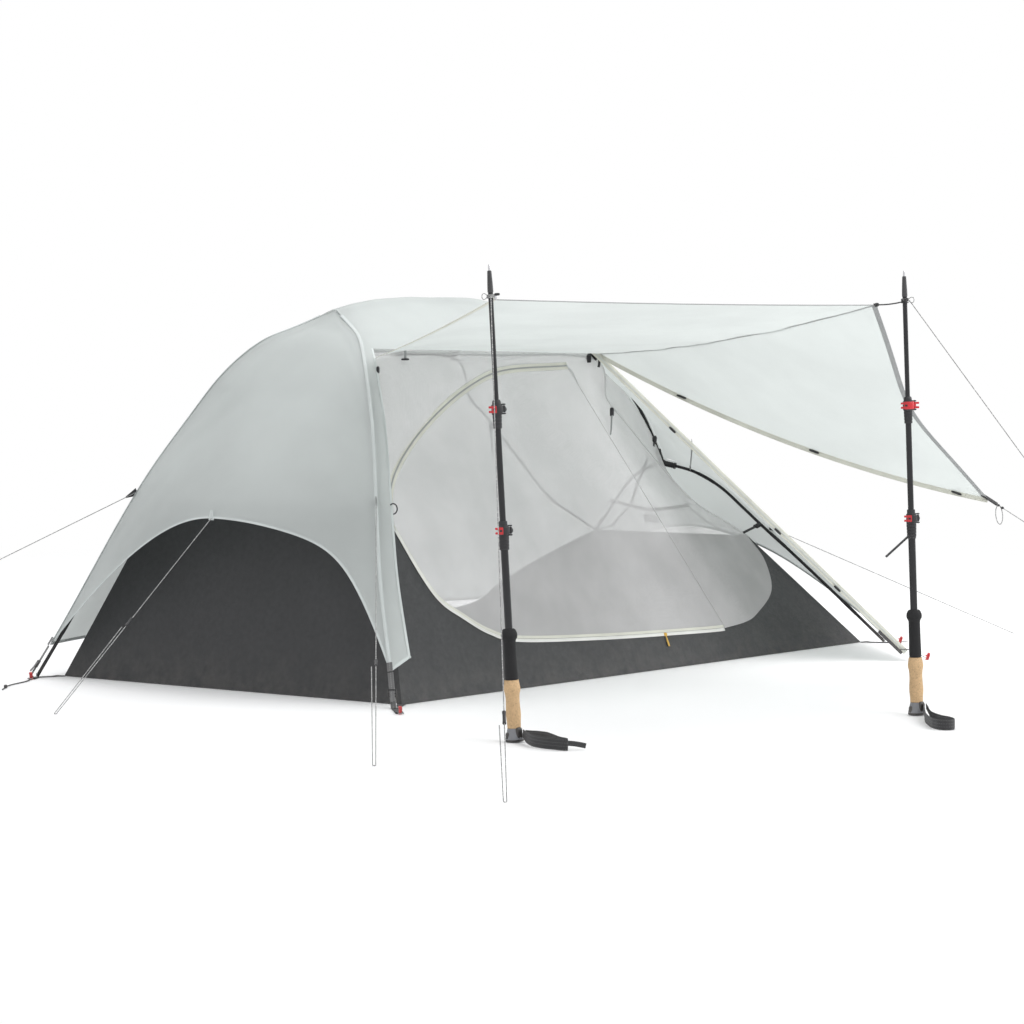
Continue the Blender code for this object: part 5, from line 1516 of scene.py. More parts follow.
class TENT_OT_inner(bpy.types.Operator):
    """The inner tent's floor, black walls and netting"""

    bl_idname = "tent.inner"
    bl_label = "Inner tent"

    def execute(self, context):
        front = fine_line(front_wall_top(), 141)
        back = fine_line(back_wall_top(), 121)
        edge = column(61, -1, 1)
        ends = (place(t, HALF_WIDTH * edge[:, 0], FLOOR_CLOTH_HEIGHT) for t in (0.0, FLOOR_LENGTH))
        for name, grid in (
            ("inner_floor", ruled(*ends, 81)),
            ("wall_front", ruled(base_under(front), front, 17)),
            ("wall_back", ruled(base_under(back), back, 17)),
            ("wall_head", self.end_wall(0.0, head_corner, edge)),
            ("wall_foot", self.end_wall(FLOOR_LENGTH, foot_corner, edge)),
        ):
            look, depth = ("floor_cloth", 0.001) if name == "inner_floor" else ("walls", 0.0015)
            cloth_piece(name, [grid], look, depth=depth)
        left, right = (np.vstack([end_seam(k, 41), crown_seam(k, 41)[1:]]) for k in (FRONT, BACK))
        outer, inner = surround_loops()
        surround = ruled(fine_line(outer, 121), fine_line(inner, 121), 17)
        side = ruled(fine_line(back_wall_top(), 91), fine_line(shoulder_seam(BACK), 91), 41)
        pull = np.linspace(1, 0, 12)[None, :, None] ** 2
        side[:, :12] += (end_seam(BACK, 41) - side[:, 0])[:, None] * pull
        for name, grid, body in (
            ("mesh_head", ruled(left, right, 41).transpose(1, 0, 2), "tent"),
            ("mesh_canopy", canopy_grid(), "tent"),
            ("mesh_back", side, "tent"),
            ("mesh_front", surround, "tent"),
            ("mesh_door", door_rows(41, 120), "inner_door"),
        ):
            cloth_piece(name, [grid], "netting", body, 0.001)
        return {"FINISHED"}

    def end_wall(self, t, corner, edge):
        low = place(t, HALF_WIDTH * edge[:, 0], CLOTH + CONTACT_GAP)
        top = corner(FRONT) + (corner(BACK) - corner(FRONT)) * (edge + 1) / 2
        return ruled(low, top, 41)


class TENT_OT_poles(bpy.types.Operator):
    """Two trekking poles standing on their grips: grips, telescoping shafts, locks, levers and tips"""

    bl_idname = "tent.poles"
    bl_label = "Trekking poles"

    def execute(self, context):
        for pole in POLES:
            self.grip(pole)
            self.shafts(pole)
            for level in (0, 1):
                self.lock(pole, level)
                self.lever(pole, level)
            self.loops(pole)
        return {"FINISHED"}

    def grip(self, pole):
        """A flared end cap, a waisted cork grip and a foam grip with a knob at its end."""
        n = pole.number
        side = fine_line(mm((19.2, 1.5), (20.8, 6.5), (18.2, 17), (15, 30)), 30)
        parts = [pole.lathed(np.vstack([mm((1, 0), (17, 0)), side, mm((12, 30.3))]))]
        for bearing, height, out, half in (
            (-100.7, 0.017, 0.0135, (0.0064, 0.0085, 0.0155)),
            (-204.7, 0.012, 0.014, (0.0068, 0.006, 0.01)),
        ):
            rows = pole.rows(bearing)
            parts.append(pillow(pole.at(height) + rows[0] * out, rows, half, 0.5, 1))
        parts.append(pole.lathed(mm((18, 0.4), (20.6, 1.4), (21.3, 4.4), (20.4, 6.6), (18, 6.4)), True, 1))
        piece(f"grip_cap_{n}", parts, "grey plastic", crease=45)
        cork = mm(
            (15, 30.6), (15.5, 44), (16.7, 61), (15.4, 87), (16, 103), (18.5, 117), (17.2, 127), (15.7, 136.8)
        )
        foam = mm((14, 137.6), (14.5, 150), (13.9, 180), (13.7, 212))
        foam = np.vstack([foam, mm((14.2, 224), (17.6, 230.5), (18.1, 239), (14.6, 248))])
        for kind, side, below, above in (
            ("cork", cork, mm((9, 30.8)), mm((9, 136.9))),
            ("foam", foam, mm((9, 137.4)), mm((11.8, 250), (9, 250))),
        ):
            ring = np.vstack([below, fine_line(side, 70), above])
            piece(
                f"{kind}_{n}", [pole.lathed(ring, True)], kind, crease=45, node=f"{kind}_grip_{n}"
            )

    def shafts(self, pole):
        """Three tubes inside each other, and the tip's tapered ferrule with its steel point."""
        n = pole.number
        low, middle, tip = SHAFT_RADII
        foot, tip_foot = SHAFT_FEET
        rim, top = SHAFT_TOPS
        bore, edge, rounding = 0.0005, 0.0004, 0.0005
        lower = [(low - 0.0003, 0.031), (low, 0.0314), (low, rim - rounding), (low - edge, rim)]
        lower += [(middle + bore, rim), (middle + bore, 0.031)]
        upper = [
            (middle, foot), (middle, top - rounding), (middle - edge, top), (tip + bore, top), (
                tip + bore, foot
            )
        ]
        base = FERRULE_TOP - 0.048
        end = [(tip - 0.0006, tip_foot), (tip, tip_foot + 0.0006), (tip, base), (tip - 0.001, base + 0.0004)]
        cone = vec(0, base) + mm((4.5, 0), (6.3, 0.3), (6.5, 3), (6.1, 18), (4.9, 43), (4.6, 47), (3.6, 48.2))
        point = vec(0, base) + mm((2, 47.8), (2.6, 48.4), (2.6, 54), (2.2, 60), (1.2, 62))
        for node, parts, body in (
            ("lower_shaft", [pole.lathed(lower, True)], "tent"),
            ("middle_shaft", [pole.lathed(upper, True)], f"pole_{n}_middle"),
            (
                "tip_section", [pole.lathed(p, kind=k) for k, p in enumerate((end, cone, point))], f"pole_{n}_tip"
            ),
        ):
            piece(f"{node}_{n}_tube", parts, "pole grey_tip steel", body, 35, f"{node}_{n}")

    def lock(self, pole, level):
        """A ribbed sleeve, a clamp with two ears round the lever's hinge, a collar above and a
        round adjuster."""
        n = pole.number
        name = ("lower", "upper")[level]
        outer, inner = SHAFT_RADII[level], SHAFT_RADII[level + 1]
        centre = SHAFT_TOPS[level] + LOCK_ABOVE_SHAFT
        fit, throat = outer + 0.0003, inner + 0.0005
        z = np.linspace(-0.0425, -0.013, 60)
        sleeve = fit + 0.0021 + (z + 0.0425) / 30
        sleeve -= 0.0007 * (np.abs((z + 0.0425) % 0.0075 - 0.0062) < 0.0006)
        clamp = mm((11.7, -9.8), (12, -8.4), (12, 8.4), (11.7, 9.6), (9.8, 11.2), (9.6, 16.5))
        bore = [
            (inner + 0.0026, 0.02), (inner + 0.002, 0.0208), (throat, 0.0206), (throat, -0.0114), (
                fit, -0.0114
            )
        ]
        ring = np.vstack([(fit, z[0]), np.stack([sleeve, z], -1), clamp, bore])
        parts = [pole.lathed(ring + vec(0, centre), True)]
        rows = pole.rows(LEVER_BEARING)
        for z in (-0.0102, 0.0102):
            ear = pole.at(centre + z) + rows[0] * (HINGE_FROM_AXIS - 0.0024)
            parts.append(pillow(ear, rows, (0.0058, 0.0038, 0.0016), 0.4))
        pin = pole.at(centre + np.linspace(-0.0126, 0.0126, 6)) + rows[0] * HINGE_FROM_AXIS
        parts.append(rod(pin, 0.0013, 16, rows[0], surface=1))
        if (n, level) != (2, 1):
            rows = pole.rows(LEVER_BEARING + 34)
            start = pole.at(centre - 0.001)
            run = start + rows[0] * column(40, 0.0095, 0.0225)
            knurl = 1 + 0.035 * np.cos(np.linspace(0, 7 * math.tau, 40))
            parts.append(rod(run, 0.005, 28, rows[2], knurl))
            parts.append(rod(start + rows[0] * column(5, 0.022, 0.024), 0.003, 20, rows[2]))
        body = f"pole_{n}_middle" if level else "tent"
        piece(f"{name}_lock_{n}_body", parts, "plastic steel", body, 35, f"{name}_lock_{n}")

    def lever(self, pole, level):
        """A band round the clamp from its hinge to a flared, forked end: a rounded profile along an arc."""
        n = pole.number
        name = ("lower", "upper")[level]
        centre = SHAFT_TOPS[level] + LOCK_ABOVE_SHAFT
        middle = LOCK_RADIUS + CONTACT_GAP + LEVER_THICKNESS / 2
        red = (n, level) == (2, 1)
        split, tall, near = (66, 0.018, 0) if red else (92, 0.0158, 1)
        bands = [(0, middle, (7, split), tall, near), (0, middle, (split - 2, 136), tall, 0)]
        bands += [(z, middle, (132, 156), 0.005, 0, 0.0052) for z in (-0.005, 0.005)]
        bands.append((0, middle + 0.0012, (100, 122), 0.0046, 1, 0.0, 0.0016))
        parts = [self.band(pole, centre + height, *rest) for height, *rest in bands]
        rows = pole.rows(LEVER_BEARING)
        hinge = pole.at(centre + np.linspace(-0.0078, 0.0078, 16)) + rows[0] * HINGE_FROM_AXIS
        round_ends = np.clip(np.sqrt(1 - np.linspace(-1, 1, 16) ** 8), 0.6, 1)
        parts.append(rod(hinge, KNUCKLE_RADIUS, 24, rows[0], round_ends, near))
        for z in (-0.0052, 0.0052) if red else ():
            prong = pole.at(centre + z) + rows[0] * (HINGE_FROM_AXIS + 0.0045)
            parts.append(pillow(prong, rows, (0.0058, 0.0022, 0.0026), 0.4))
        body = f"pole_{n}_{name}_lever"
        piece(f"{name}_lever_{n}_arm", parts, "red plastic", body, 40, f"{name}_lever_{n}")

    def band(self, pole, height, radius, sweep, tall, kind, flare=0.0, thick=LEVER_THICKNESS):
        share = np.linspace(0, 1, 36)
        height = np.full(36, height)
        path = pole.round(height, radius + flare * share**1.5, LEVER_BEARING - np.linspace(*sweep, 36))
        ends = np.clip(np.minimum(share, 1 - share) * 12, 0, 1) * 0.18 + 0.82
        return ribbon(path, tall, thick, path - pole.at(height), kind, ends)

    def loops(self, pole):
        """Turns of cord round the tip, and what ties the awning's corner to them."""
        n = pole.number
        corner = awning_corner(n)
        way = unit((corner - pole.at(LOOP_HEIGHT)) * FLAT)
        a = np.linspace(0, 1080, 160)
        coil = pole.round(LOOP_HEIGHT - 0.004 + 0.008 * a / a[-1], 0.0077, a)
        parts = [rod(coil, 0.0014, 12, UP)]
        start = pole.at(LOOP_HEIGHT) + way * 0.009
        if n == 1:
            kind, bearing = "cord", -205.0
            parts.append(ribbon(np.linspace(start, corner + way * 0.004, 8), 0.009, 0.0024, UP, 1))
            rows = pole.rows(-60.0)
            for height, out, half, soft, look in (
                (0.0035, 0.0145, (0.0058, 0.0034, 0.003), 0.5, 2),
                (-0.0035, 0.0105, (0.003, 0.003, 0.0048), 0.6, 3),
            ):
                parts.append(pillow(pole.at(LOOP_HEIGHT + height) + rows[0] * out, rows, half, soft, look))
        else:
            kind, bearing = "black_cord", -52.6
            ring = mm((6.2, -6.2), (8.2, -7), (8.8, -5.8), (8, -4.4), (6.2, -4.6)) + vec(0, LOOP_HEIGHT)
            parts.append(pole.lathed(ring, True, 2))
        piece(f"awning_loop_{n}_turns", parts, f"{kind} tape plastic steel", node=f"awning_loop_{n}")
        share = column(40)
        rows = pole.rows(bearing)
        ahead = np.cos(share * math.pi)
        reach = 0.0092 + 0.0125 * np.sin(share * math.pi) ** 1.2
        loop = pole.at(LOOP_HEIGHT + 0.0018 * ahead[:, 0])
        loop = loop + rows[0] * reach + rows[1] * 0.0006 * ahead + rows[2] * 0.0052 * np.sin(share * math.tau)
        small_cord(f"pole_{n}_cord_loop", loop, 0.0009, "cord")
        if n == 2:
            tie = hanging(start - UP * 0.0045, corner - way * 0.001, 0.002, 30)
            small_cord("pole_2_tie", tie, 0.0017, "black_cord")
            rows = basis(way)
            bar = column(10, -1, 1) * (rows[1] * 0.006 + UP * 0.003)
            knots = [
                pillow(corner - way * 0.003, rows, (0.005, 0.0042, 0.0046), 0.7),
                rod(corner + way * 0.002 - UP * 0.001 + bar, 0.0016, 12, way),
            ]
            piece("awning_corner_knot", knots, "black_cord")


def small_cord(name, path, radius, kind):
    """A short cord on one line."""
    made = cord_curve(name, path, radius, kind)


def hanging(start, end, sag, count=24):
    """A limp line between two points: a straight run that sinks as a parabola."""
    s = column(count)
    return start + (end - start) * s - vec(0, 0, sag) * 4 * s * (1 - s)


WRIST_STRAPS = (
    mm(
        (-413, -1269, 21), (-407, -1290, 19), (-412, -1320, 17), (-436, -1360, 15), (-465, -1402, 13.8),
        (-477, -1433, 13.7), (-484, -1438, 13.7), (-487.5, -1428, 13.7), (-488, -1405, 13.7), (
            -486, -1378, 13.7
        ),
        (-474, -1338, 14), (-447, -1300, 16.5), (-424, -1273.5, 20),
    ),
    mm(
        (590, -1704, 21), (542, -1738, 18), (474, -1786, 14.5), (432, -1832, 12.8), (410, -1866, 12.4),
        (388, -1893, 12.4), (364, -1907, 12.4), (346, -1905, 12.4), (338, -1889, 12.4), (350, -1864, 12.4),
        (379, -1836, 12.4), (442, -1788, 13.4), (520, -1740, 16.5), (572, -1706, 20),
    ),
)
WRIST_STRAP_TAIL = mm(
    (-482, -1434, 16.5), (-470, -1441, 15), (-455, -1449, 12), (-442, -1457, 8.5),
)
# A stake's cord hook: shares of its length, its reach and its side
STAKE_HOOK = (
    (0, 0.25, 0.45, 0.6, 0.8, 1.0),
    (0.0, 0.007, 0.02, 0.025, 0.018, 0.004),
    (0.004, 0.005, 0.0045, 0.0, -0.005, -0.0048),
)
STAKE_FROM_FOOT = {"head_strap_front": (-0.088, -0.086), "head_strap_back": (-0.046, -0.026)}


class TENT_OT_straps(bpy.types.Operator):
    """Corner webbing with its buckles, the stakes, and the straps on the trekking poles"""

    bl_idname = "tent.straps"
    bl_label = "Straps and stakes"

    def execute(self, context):
        for side, end in ((FRONT, "front"), (BACK, "back")):
            for name, t, leg, cover in (
                ("head", 0.0, head_leg(side), fly_head_leg(side)),
                ("foot", FLOOR_LENGTH, foot_leg(side), fly_foot_leg(side)),
            ):
                fly_corner = cover.at_height(FLY_CORNER_HEIGHT)
                self.corner(
                    f"{name}_strap_{end}", place(t, side * HALF_WIDTH, 0.0), leg.at(1.0) * FLAT, fly_corner
                )
        self.wing_peg()
        self.wrist_straps()
        self.strap_tab()
        return {"FINISHED"}

    def corner(self, name, corner, foot, fly_corner):
        """Ground webbing with eyelets under the leg's foot, a rising strap with its buckle, and a
        stake with a hook."""
        run = foot - corner
        way = unit(run)
        across = vec(-way[1], way[0], 0)
        beyond = vec(*STAKE_FROM_FOOT.get(name, way[:2] * 0.042), 0)
        path = smooth([corner, corner + run * 0.6, foot, foot + beyond * 0.5, foot + beyond], 14)
        share = column(len(path))
        lift = UP * (0.0009 + 0.0016 * np.exp(-(((share - 0.1) / 0.05) ** 2)))
        parts = [ribbon(path + lift, STRAP_WIDTH, 0.0016, UP)]
        parts.append(ribbon(path[-18:-1] + UP * 0.0026, STRAP_WIDTH * 0.96, 0.0015, UP))
        eyelet = mm((3.8, 0.8), (6.4, 0.8), (6.6, 2.2), (5.2, 3), (3.8, 2.4))
        parts += [turned(eyelet, 32, True, 1, origin=spot) for spot in (foot, foot + beyond * 0.42)]
        parts.append(turned(mm((2.4, 1.1), (3.4, 1.6), (3.6, 10), (3.2, 12)), 24, surface=1, origin=foot))
        low = foot + way * (POLE_RADIUS + 0.016) + UP * 0.0022
        seam = fly_corner + way * 0.004
        high = seam - UP * (CLOTH + CONTACT_GAP + 0.001)
        rise = unit(high - low)
        normal = np.cross(across, rise)
        middle = low + (high - low) * 0.42
        tail = seam + rise * column(8, 0.0, 0.024) + normal * 0.0022
        s = column(12)
        loose = middle + rise * (0.004 - 0.03 * s) + normal * (0.004 + 0.004 * s**2)
        riser = np.linspace(low, high, 40)
        for line, share, thick in ((riser, 0.7, 0.0016), (tail, 0.7, 0.0016), (loose, 0.6, 0.0013)):
            parts.append(ribbon(line, STRAP_WIDTH * share, thick, normal, 2))
        wide, tall = across * 0.0105, rise * 0.009
        square = ((-1, -1), (1, -1), (1, 1), (-1, 1), (-1, -1))
        ring = [middle + wide * x + tall * y + normal * 0.0012 for x, y in square]
        bars = [*zip(ring, ring[1:]), (middle - wide + normal * 0.002, middle + wide + normal * 0.002)]
        parts += [rod(np.linspace(a, b, 8), 0.0016, 12, normal, surface=3) for a, b in bars]
        piece(
            name + "_webbing", parts, "webbing steel grey_webbing plastic", crease=40, node=name
        )
        aim = unit(beyond)
        self.stake(name.replace("strap", "stake"), foot + beyond + aim * 0.004, aim)
        if name == "head_strap_back":
            start = foot + way * 0.012 + UP * 0.003
            end = place(-0.352, 0.446, 0.0022)
            first = start + (end - start) * 0.3 + vec(0.004, -0.01, -0.001)
            second = start + (end - start) * 0.7 + vec(-0.004, 0.006, 0)
            line = smooth([start, first, second, end], 14)
            small_cord("back_corner_line", line, 0.0016, "black_cord")
            toggle = pillow(line[-9] + UP * 0.0022, basis(line[-1] - line[-9]), (0.008, 0.0042, 0.0042), 0.5)
            piece("back_corner_toggle", [toggle], "plastic")

    def stake(self, name, spot, way, hook=True):
        """A stake of three ribs with a red head: the visible top of it, and its first part in the ground."""
        lean = unit(way * 0.32 + UP)
        side = unit(np.cross(lean, way))
        rows = np.stack([side, np.cross(lean, side), lean])
        parts = []
        for turn in (0, 120, 240):
            a = math.radians(turn)
            fin = rows[0] * math.cos(a) + rows[1] * math.sin(a)
            line = spot + lean * column(12, -0.034, 0.017) + fin * 0.0025
            parts.append(ribbon(line, 0.0052, 0.0014, np.cross(lean, fin)))
        parts.append(pillow(spot + lean * 0.018, rows, (0.0042, 0.0036, 0.0026), 0.45))
        parts.append(pillow(spot + lean * 0.0125 - way * 0.0045, rows, (0.002, 0.0036, 0.0018), 0.5))
        piece(name, parts, "red", crease=40)
        if hook:
            marks, *shape = STAKE_HOOK
            reach, wide = (np.interp(np.linspace(0, 1, 36), marks, row)[:, None] for row in shape)
            loop = spot + UP * 0.004 + way * reach + side * wide
            small_cord(name.replace("stake", "stake_loop"), smooth(loop[::5], 8), 0.001, "cord")

    def wing_peg(self):
        """The front foot panel's corner: a tab, a short cord and its stake."""
        corner = place(*WING_CORNER)
        out = unit(unit(corner - eave_brow(FRONT)) * FLAT)
        tab = corner + out * column(12, -0.022, 0.014) + UP * 0.0016
        piece("wing_corner_tab", [ribbon(tab, 0.015, 0.0018, UP)], "webbing")
        spot = corner * FLAT + vec(0.058, -0.028, 0)
        start = corner + out * 0.013
        line = smooth([start, (start + spot) / 2 + UP * 0.002, spot + vec(-0.004, 0.002, 0.006)], 14)
        small_cord("wing_corner_cord", line, 0.0011, "cord")
        self.stake("wing_stake", spot, out, False)

    def wrist_straps(self):
        """Webbing loops that lie on their edges beside the grips, with a narrower tail on the first."""
        for number, (stations, tall) in enumerate(zip(WRIST_STRAPS, (0.026, 0.0235)), 1):
            path = smooth(place(*stations.T), 14)
            share = np.linspace(0, 1, len(path))
            wide = np.interp(share, [0, 0.1, 0.3, 0.9, 1], [0.6, 0.75, 1.0, 1.0, 0.75])
            tilt = np.interp(share, [0, 0.22, 0.42, 1], [1.0, 0.85, 0.0, 0.0])[:, None]
            parts = [ribbon(path, 0.0022, tall, UP + tilt * vec(0.95, 0.75, 0), scale=wide)]
            if number == 1:
                parts.append(ribbon(smooth(place(*WRIST_STRAP_TAIL.T), 10), 0.0026, 0.0115, UP))
            piece(f"wrist_strap_{number}", parts, "webbing")

    def strap_tab(self):
        """A flat strap's end that stands off the second pole's shaft."""
        pole = POLES[1]
        rows = pole.rows(127.4)
        start = pole.at(0.4235) + rows[0] * (SHAFT_RADII[0] + 0.0006)
        line = np.linspace(start, start + rows[0] * 0.052 - UP * 0.046, 20)
        ring = mm((8.7, 419), (10, 419), (10.2, 424), (10, 429), (8.7, 429))
        parts = [ribbon(line, 0.0085, 0.0026, rows[1] * 0.3 + rows[2]), pole.lathed(ring, True, sides=48)]
        piece("pole_strap_tab", parts, "webbing")


class TENT_OT_frame(bpy.types.Operator):
    """The frame's poles with their joint sleeves, and the two hubs"""

    bl_idname = "tent.frame"
    bl_label = "Frame poles"

    def execute(self, context):
        self.pole("ridge_pole", RIDGE, 0.03, 0.03, (0, 1, 0), 5)
        self.pole("brow_pole", brow_way(), 0.0, 0.0, (0, 0, 1), 1)
        for side, name in ((FRONT, "front"), (BACK, "back")):
            self.pole(f"head_leg_{name}", head_leg(side), 0.022, 0.0, (1, 0, 0), 4)
            self.pole(f"foot_leg_{name}", foot_leg(side), 0.022, 0.0, (1, 0, 0), 3)
        for name, centre, on, end, legs in (
            ("head_hub", head_hub(), 0.04, 0.0, head_leg),
            ("foot_hub", foot_hub(), 0.96, 1.0, foot_leg),
        ):
            ways = [legs(side).at(0.04) - legs(side).at(0.0) for side in (FRONT, BACK)]
            self.hub(name, centre, [RIDGE.at(on) - RIDGE.at(end), *ways])
        return {"FINISHED"}

    def pole(self, name, way, start, end, hint, joints):
        """A tube that is a little thicker over each joint sleeve."""
        share = np.linspace(start / way.length, 1 - end / way.length, 241)
        sleeves = (np.arange(joints) + 0.5) / joints
        away = np.abs(share[:, None] - sleeves).min(1) * way.length
        scale = 1 + 0.13 * np.clip((0.03 - away) / 0.0015, 0, 1)
        tube = rod(way.at(share), POLE_RADIUS, 20, hint, scale)
        piece(name + "_tube", [tube], "pole", "tent", 50, name)

    def hub(self, name, centre, ways):
        """A round body with three ribbed sleeves."""
        parts = [pillow(centre, np.eye(3), (0.0112, 0.0112, 0.0102), 0.8)]
        z = np.linspace(0, 0.044, 45)
        ribs = 0.0083 + 0.0006 * (np.cos(z * math.tau / 0.0055) > 0.2) * (z > 0.014) + 0.001 * (z > 0.038)
        sleeve = np.vstack([np.stack([ribs, z], -1), [[0.0052, 0.044], [0.0052, 0.014]]])
        for way in ways:
            turn = turn_to(unit(way))
            parts.append(turned(sleeve, 32, axes=turn, origin=centre))
        piece(name + "_body", parts, "plastic", "tent", 40, name)


def tape_on(grid, where, width, thickness=0.0012, inset=0.5, picked=slice(None)):
    """A tape along a grid's edge, drawn in by a share of its width."""
    n = normals_of(grid)
    path, normal, second = {
        "top": (grid[0], n[0], grid[1]),
        "bottom": (grid[-1], n[-1], grid[-2]),
        "left": (grid[:, 0], n[:, 0], grid[:, 1]),
        "right": (grid[:, -1], n[:, -1], grid[:, -2]),
    }[where]
    return ribbon((path + unit(second - path) * width * inset)[picked], width, thickness, normal[picked])


class TENT_OT_seams(bpy.types.Operator):
    """Zip tapes, edge bindings and seam tapes"""

    bl_idname = "tent.seams"
    bl_label = "Tapes and seams"

    def execute(self, context):
        self.flysheet()
        self.door()
        self.netting()
        return {"FINISHED"}

    def flysheet(self):
        """Bindings, hems and zip tapes of the flysheet and the awning."""
        wide, thin = sizes().tape_width, sizes().binding_width
        (head,), (roof,), (strip,), back, (wing,), (foot,), (awning,) = (
            grids for _, grids, _ in fly_shapes()
        )
        edge = awning[:, -1]
        out = unit(np.cross(np.gradient(edge, axis=0), UP))
        aside = vec(-0.79, -0.61, 0.05)
        within = unit(np.cross(aside, unit(np.gradient(wing[:, 0], axis=0))))
        within *= np.sign(within @ vec(-0.607, 0.794, 0))[:, None]
        flap = (wing[:, 0] + within * wide * 0.5 + aside * 0.003)[4:]
        seam = fly_head_leg(FRONT).even(121)
        bindings = [
            tape_on(awning, "bottom", thin, picked=slice(0, AWNING_FOLD + 1)),
            tape_on(awning, "bottom", thin * 1.25, picked=slice(AWNING_FOLD, None)),
            ribbon(awning[:, AWNING_FOLD], 0.007, 0.0022, normals_of(awning)[:, AWNING_FOLD - 2]),
        ]
        hems = [(head, "top", 0.006), (foot, "top", 0.006), (wing, "bottom", 0.01), (strip, "top", 0.008)]
        hems += [(grid, "bottom", 0.01) for grid in back]
        seams = [
            ribbon(line[4:112] + vec(-0.0006, side * 0.0006, 0.0008), 0.009, 0.0012, head_seam_out(side))
            for side, line in ((FRONT, seam), (BACK, mirrored(seam)))
        ]
        free = ribbon(edge - UP * 0.0055, wide * 0.8, TAPE_THICKNESS, out)
        for name, look, parts in (
            ("awning_bindings", "binding", bindings),
            ("awning_zip_tapes", "tape", [tape_on(awning, "left", thin), free]),
            ("wing_zip_tape", "tape", [ribbon(flap, wide, 0.0016, aside)]),
            (
                "wing_zip_teeth", "fly_binding", [
                    ribbon(flap + aside * 0.0012, wide * 0.14, TAPE_THICKNESS, aside)
                ]
            ),
            ("strip_zip_tape", "fly_binding", [tape_on(strip, "right", thin * 0.6)]),
            ("fly_hems", "fly_binding", [tape_on(*hem) for hem in hems]),
            ("fly_seams", "fly_binding", [*seams, tape_on(roof, "bottom", 0.009, TAPE_THICKNESS, 0.0)]),
        ):
            piece(name, parts, look)

    def door(self):
        """The door's zip in two halves with their teeth, the sill's tapes and the hinge seam."""
        out = vec(0, -1.0, 0.43)
        up = unit(vec(0, 0.43, 1.0))
        lift = unit(out) * TAPE_THICKNESS
        arc = door_arc().even(101)
        top, bottom = hinge_line()
        along = unit(np.gradient(arc, axis=0))
        into = unit((top + bottom) / 2 + vec(-0.25, 0, -0.05) - arc)
        into = unit(into - along * (into * along).sum(-1, keepdims=True))
        half = sizes().tape_width * 0.62
        beside = into * half * 0.55
        wall = fine_line(front_wall_top(), 281)
        ends = np.searchsorted(wall[:, 0], [arc[0, 0] + 0.004, bottom[0]])
        sill = Way(wall[slice(*ends)]).even(121) + lift
        for name, path, width, thick, look, body in (
            ("door_frame_zip", arc - beside + lift, half, TAPE_THICKNESS, "tape", "tent"),
            ("door_edge_zip", arc + beside + lift, half, TAPE_THICKNESS, "tape", "inner_door"),
            ("frame_zip_teeth", arc - into * 0.0011 + lift * 1.5, 0.002, 0.0016, "binding", "tent"),
            ("door_zip_teeth", arc + into * 0.0011 + lift * 1.5, 0.002, 0.0016, "binding", "inner_door"),
            ("sill_zip_tape", sill - up * 0.004, half * 0.9, TAPE_THICKNESS, "white_tape", "tent"),
            ("door_sill_tape", sill + up * 0.0055, half * 0.8, TAPE_THICKNESS, "tape", "inner_door"),
            ("door_hinge_seam", np.linspace(top, bottom, 41) + lift * 0.6, 0.0014, 0.001, "net_tape", "tent"),
        ):
            piece(name, [ribbon(path, width, thick, out)], look, body)

    def netting(self):
        """Tapes along the netting's seams: light ones on the near side and the ends, darker ones
        at the back."""
        canopy = canopy_grid()
        rows = np.linspace(71, 80, 7)
        groups = []
        for side in (FRONT, BACK):
            shoulder = fine_line(shoulder_seam(side), 121)
            crown = np.vstack([end_seam(side, 41), crown_seam(side, 41)[1:]])
            spread = canopy[rows.astype(int), (30 + side * 30 * ((rows - 71) / 9) ** 0.8).astype(int)]
            tapes = (
                (shoulder, 0.007, vec(0, side * 0.7, 0.7)),
                (crown, 0.009, vec(-0.7, side * 0.5, 0.5)),
                (smooth(spread, 8)[2:-2], 0.008, vec(0.6, side * 0.2, 0.7)),
            )
            groups.append([ribbon(path, width, TAPE_THICKNESS, hint) for path, width, hint in tapes])
        near, far = groups
        far.append(ribbon(fine_line(back_wall_top(), 121), 0.01, TAPE_THICKNESS, vec(0, 1.0, 0.43)))
        for corner, lean in ((head_corner, -0.4), (foot_corner, 0.4)):
            line = np.linspace(corner(FRONT), corner(BACK), 41)
            near.append(ribbon(line, 0.01, TAPE_THICKNESS, vec(lean, 0, 0.9)))
        piece("netting_back_seams", far, "binding")
        piece("netting_seams", near, "net_tape")


